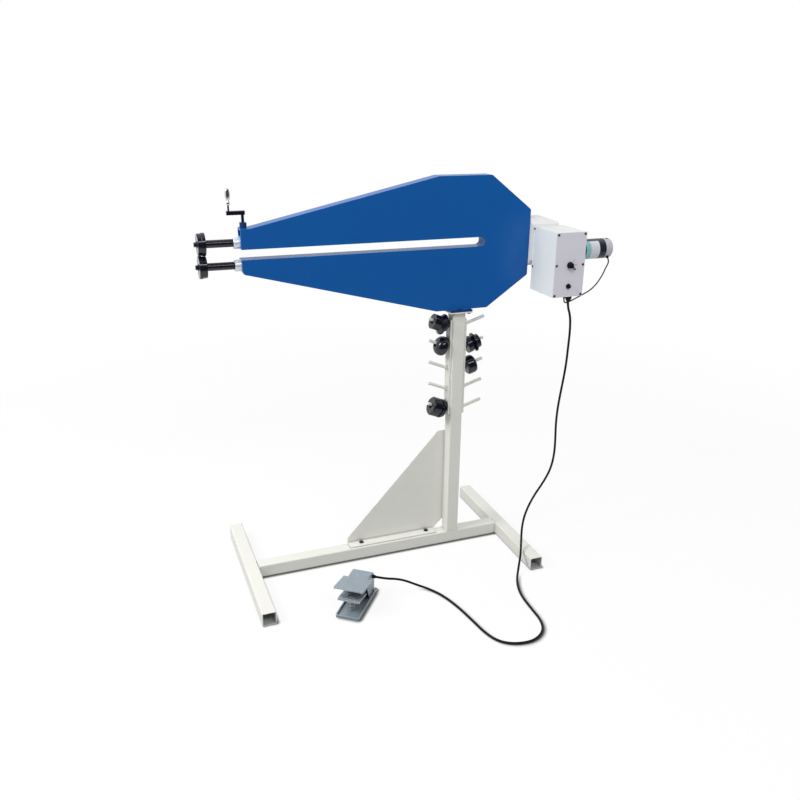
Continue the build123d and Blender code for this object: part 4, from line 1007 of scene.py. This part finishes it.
# Studio: a pale floor that fades into a white surround, and soft lamps
WHITE = (1, 1, 1)
FLOOR_REACH = 5.0
FLOOR_FADE_START = 1.7
FLOOR_FADE_END = 3.6
FLOOR_WHITE_SHARE = 0.88
FLOOR_SEEN = (0.90, 0.90, 0.90)
FLOOR_BOUNCE = (0.42, 0.42, 0.42)
FLOOR_ROUGHNESS = 0.9
CONTACT_REACH = 0.018
CONTACT_WAY = (-0.62, 0.62, 0.48)
CONTACT_SHADE = (0.02, 0.02, 0.018)
SKY_LOW = 0.1
SKY_HIGH = 0.9
SKY_TOP = 0.72
SKY_SIDE = 0.44
ROOM_DARK = 0.08
ROOM_FROM = -0.55
ROOM_TO = -0.05


def seen_by(wire, *rays):
    """1 for rays of some kinds, such as Camera or Glossy, and 0 for all others."""
    kinds = [wire.node("LightPath", {}, f"Is {ray} Ray") for ray in rays]
    return wire.sum("MINIMUM", sum(kinds), 1.0)


def floor():
    """A round-fading floor that takes the shadows, and is seen nearly white by the camera, with a painted
    contact shadow in that white.
    """
    plane = bpy.data.meshes.new("floor")
    corners = [(x * FLOOR_REACH, y * FLOOR_REACH, 0) for x, y in ((-1, -1), (1, -1), (1, 1), (-1, 1))]
    plane.from_pydata(corners, [], [(0, 1, 2, 3)])
    ground = bpy.data.objects.new("floor", plane)
    scene.collection.objects.link(ground)
    finish = Finish("pale_floor", shine=0.0)
    wire = finish.wire
    pale = seen_by(wire, "Camera", "Transmission", "Glossy")
    finish.set("Base Color", pale.mix(FLOOR_BOUNCE, FLOOR_SEEN))
    finish.set("Roughness", FLOOR_ROUGHNESS)
    out = wire.node("VectorMath", {0: finish.place}, "Value", operation="LENGTH")
    inputs = {"Value": out, "From Min": FLOOR_FADE_END, "From Max": FLOOR_FADE_START}
    fade = wire.node("MapRange", inputs)
    finish.set("Alpha", fade)
    # Painted contact shadow: an occlusion test that looks left, back and up darkens the camera's white next
    # to the stand
    lit_from = wire.node("CombineXYZ", dict(zip("XYZ", CONTACT_WAY)))
    near = wire.node("AmbientOcclusion", {"Distance": CONTACT_REACH, "Normal": lit_from}, "AO")
    glow = near.above(0.72, blur=0.2).mix(CONTACT_SHADE, WHITE)
    white = wire.node("Emission", {"Color": glow, "Strength": 1.0})
    clear = wire.node("BsdfTransparent", {})
    shown = wire.node("MixShader", {0: fade, 1: clear, 2: white})
    lit = Wire(wire.tree, finish.shader.outputs[0])
    share = seen_by(wire, "Camera", "Transmission") * FLOOR_WHITE_SHARE
    surface = wire.node("MixShader", {0: share, 1: lit, 2: shown})
    wire.plug(wire.tree.nodes["Material Output"].inputs["Surface"], surface)
    wear(ground, finish.material)


def surround():
    """A sky that is brightest overhead, plain white to the camera, and in gloss a dim room in front."""
    world = bpy.data.worlds.new("white_surround")
    world.use_nodes = True
    scene.world = world
    wire = Wire(world.node_tree)
    way = wire.node("TexCoord", {}, "Generated")
    height = wire.node("SeparateXYZ", {"Vector": way}, "Z")
    inputs = {"Value": height, "From Min": SKY_LOW, "From Max": SKY_HIGH}
    glow = wire.node("MapRange", {**inputs, "To Min": SKY_SIDE, "To Max": SKY_TOP})
    seen = seen_by(wire, "Camera", "Transmission", "Glossy")
    ahead = wire.node("SeparateXYZ", {"Vector": way}, "Y")
    inputs = {"Value": ahead, "From Min": ROOM_FROM, "From Max": ROOM_TO, "To Min": ROOM_DARK}
    room = seen_by(wire, "Glossy") * (1 - wire.node("MapRange", inputs))
    backdrop = wire.tree.nodes["Background"]
    wire.plug(backdrop.inputs["Color"], WHITE)
    wire.plug(backdrop.inputs["Strength"], seen + glow * (1 - seen) - room)


def soft_lamp(name, spot, aim, width, height, power):
    """A flat soft lamp at a spot, turned to what it lights."""
    lamp = bpy.data.lights.new(name, "AREA")
    lamp.shape = "RECTANGLE"
    lamp.size = width
    lamp.size_y = height
    lamp.energy = power
    light = bpy.data.objects.new(name, lamp)
    light.location = spot
    light.rotation_euler = (Vector(aim) - Vector(spot)).to_track_quat("-Z", "Y").to_euler()
    scene.collection.objects.link(light)


place_camera()
floor()
surround()
soft_lamp("left_key", spot=(-3.4, -0.2, 3.0), aim=(0, 0, 0.8), width=1.5, height=1.5, power=98)
soft_lamp("front_fill", spot=(0.3, -3.3, 3.8), aim=(0.3, 0, 0.8), width=3.4, height=0.6, power=50)
scene.view_settings.view_transform = "Standard"
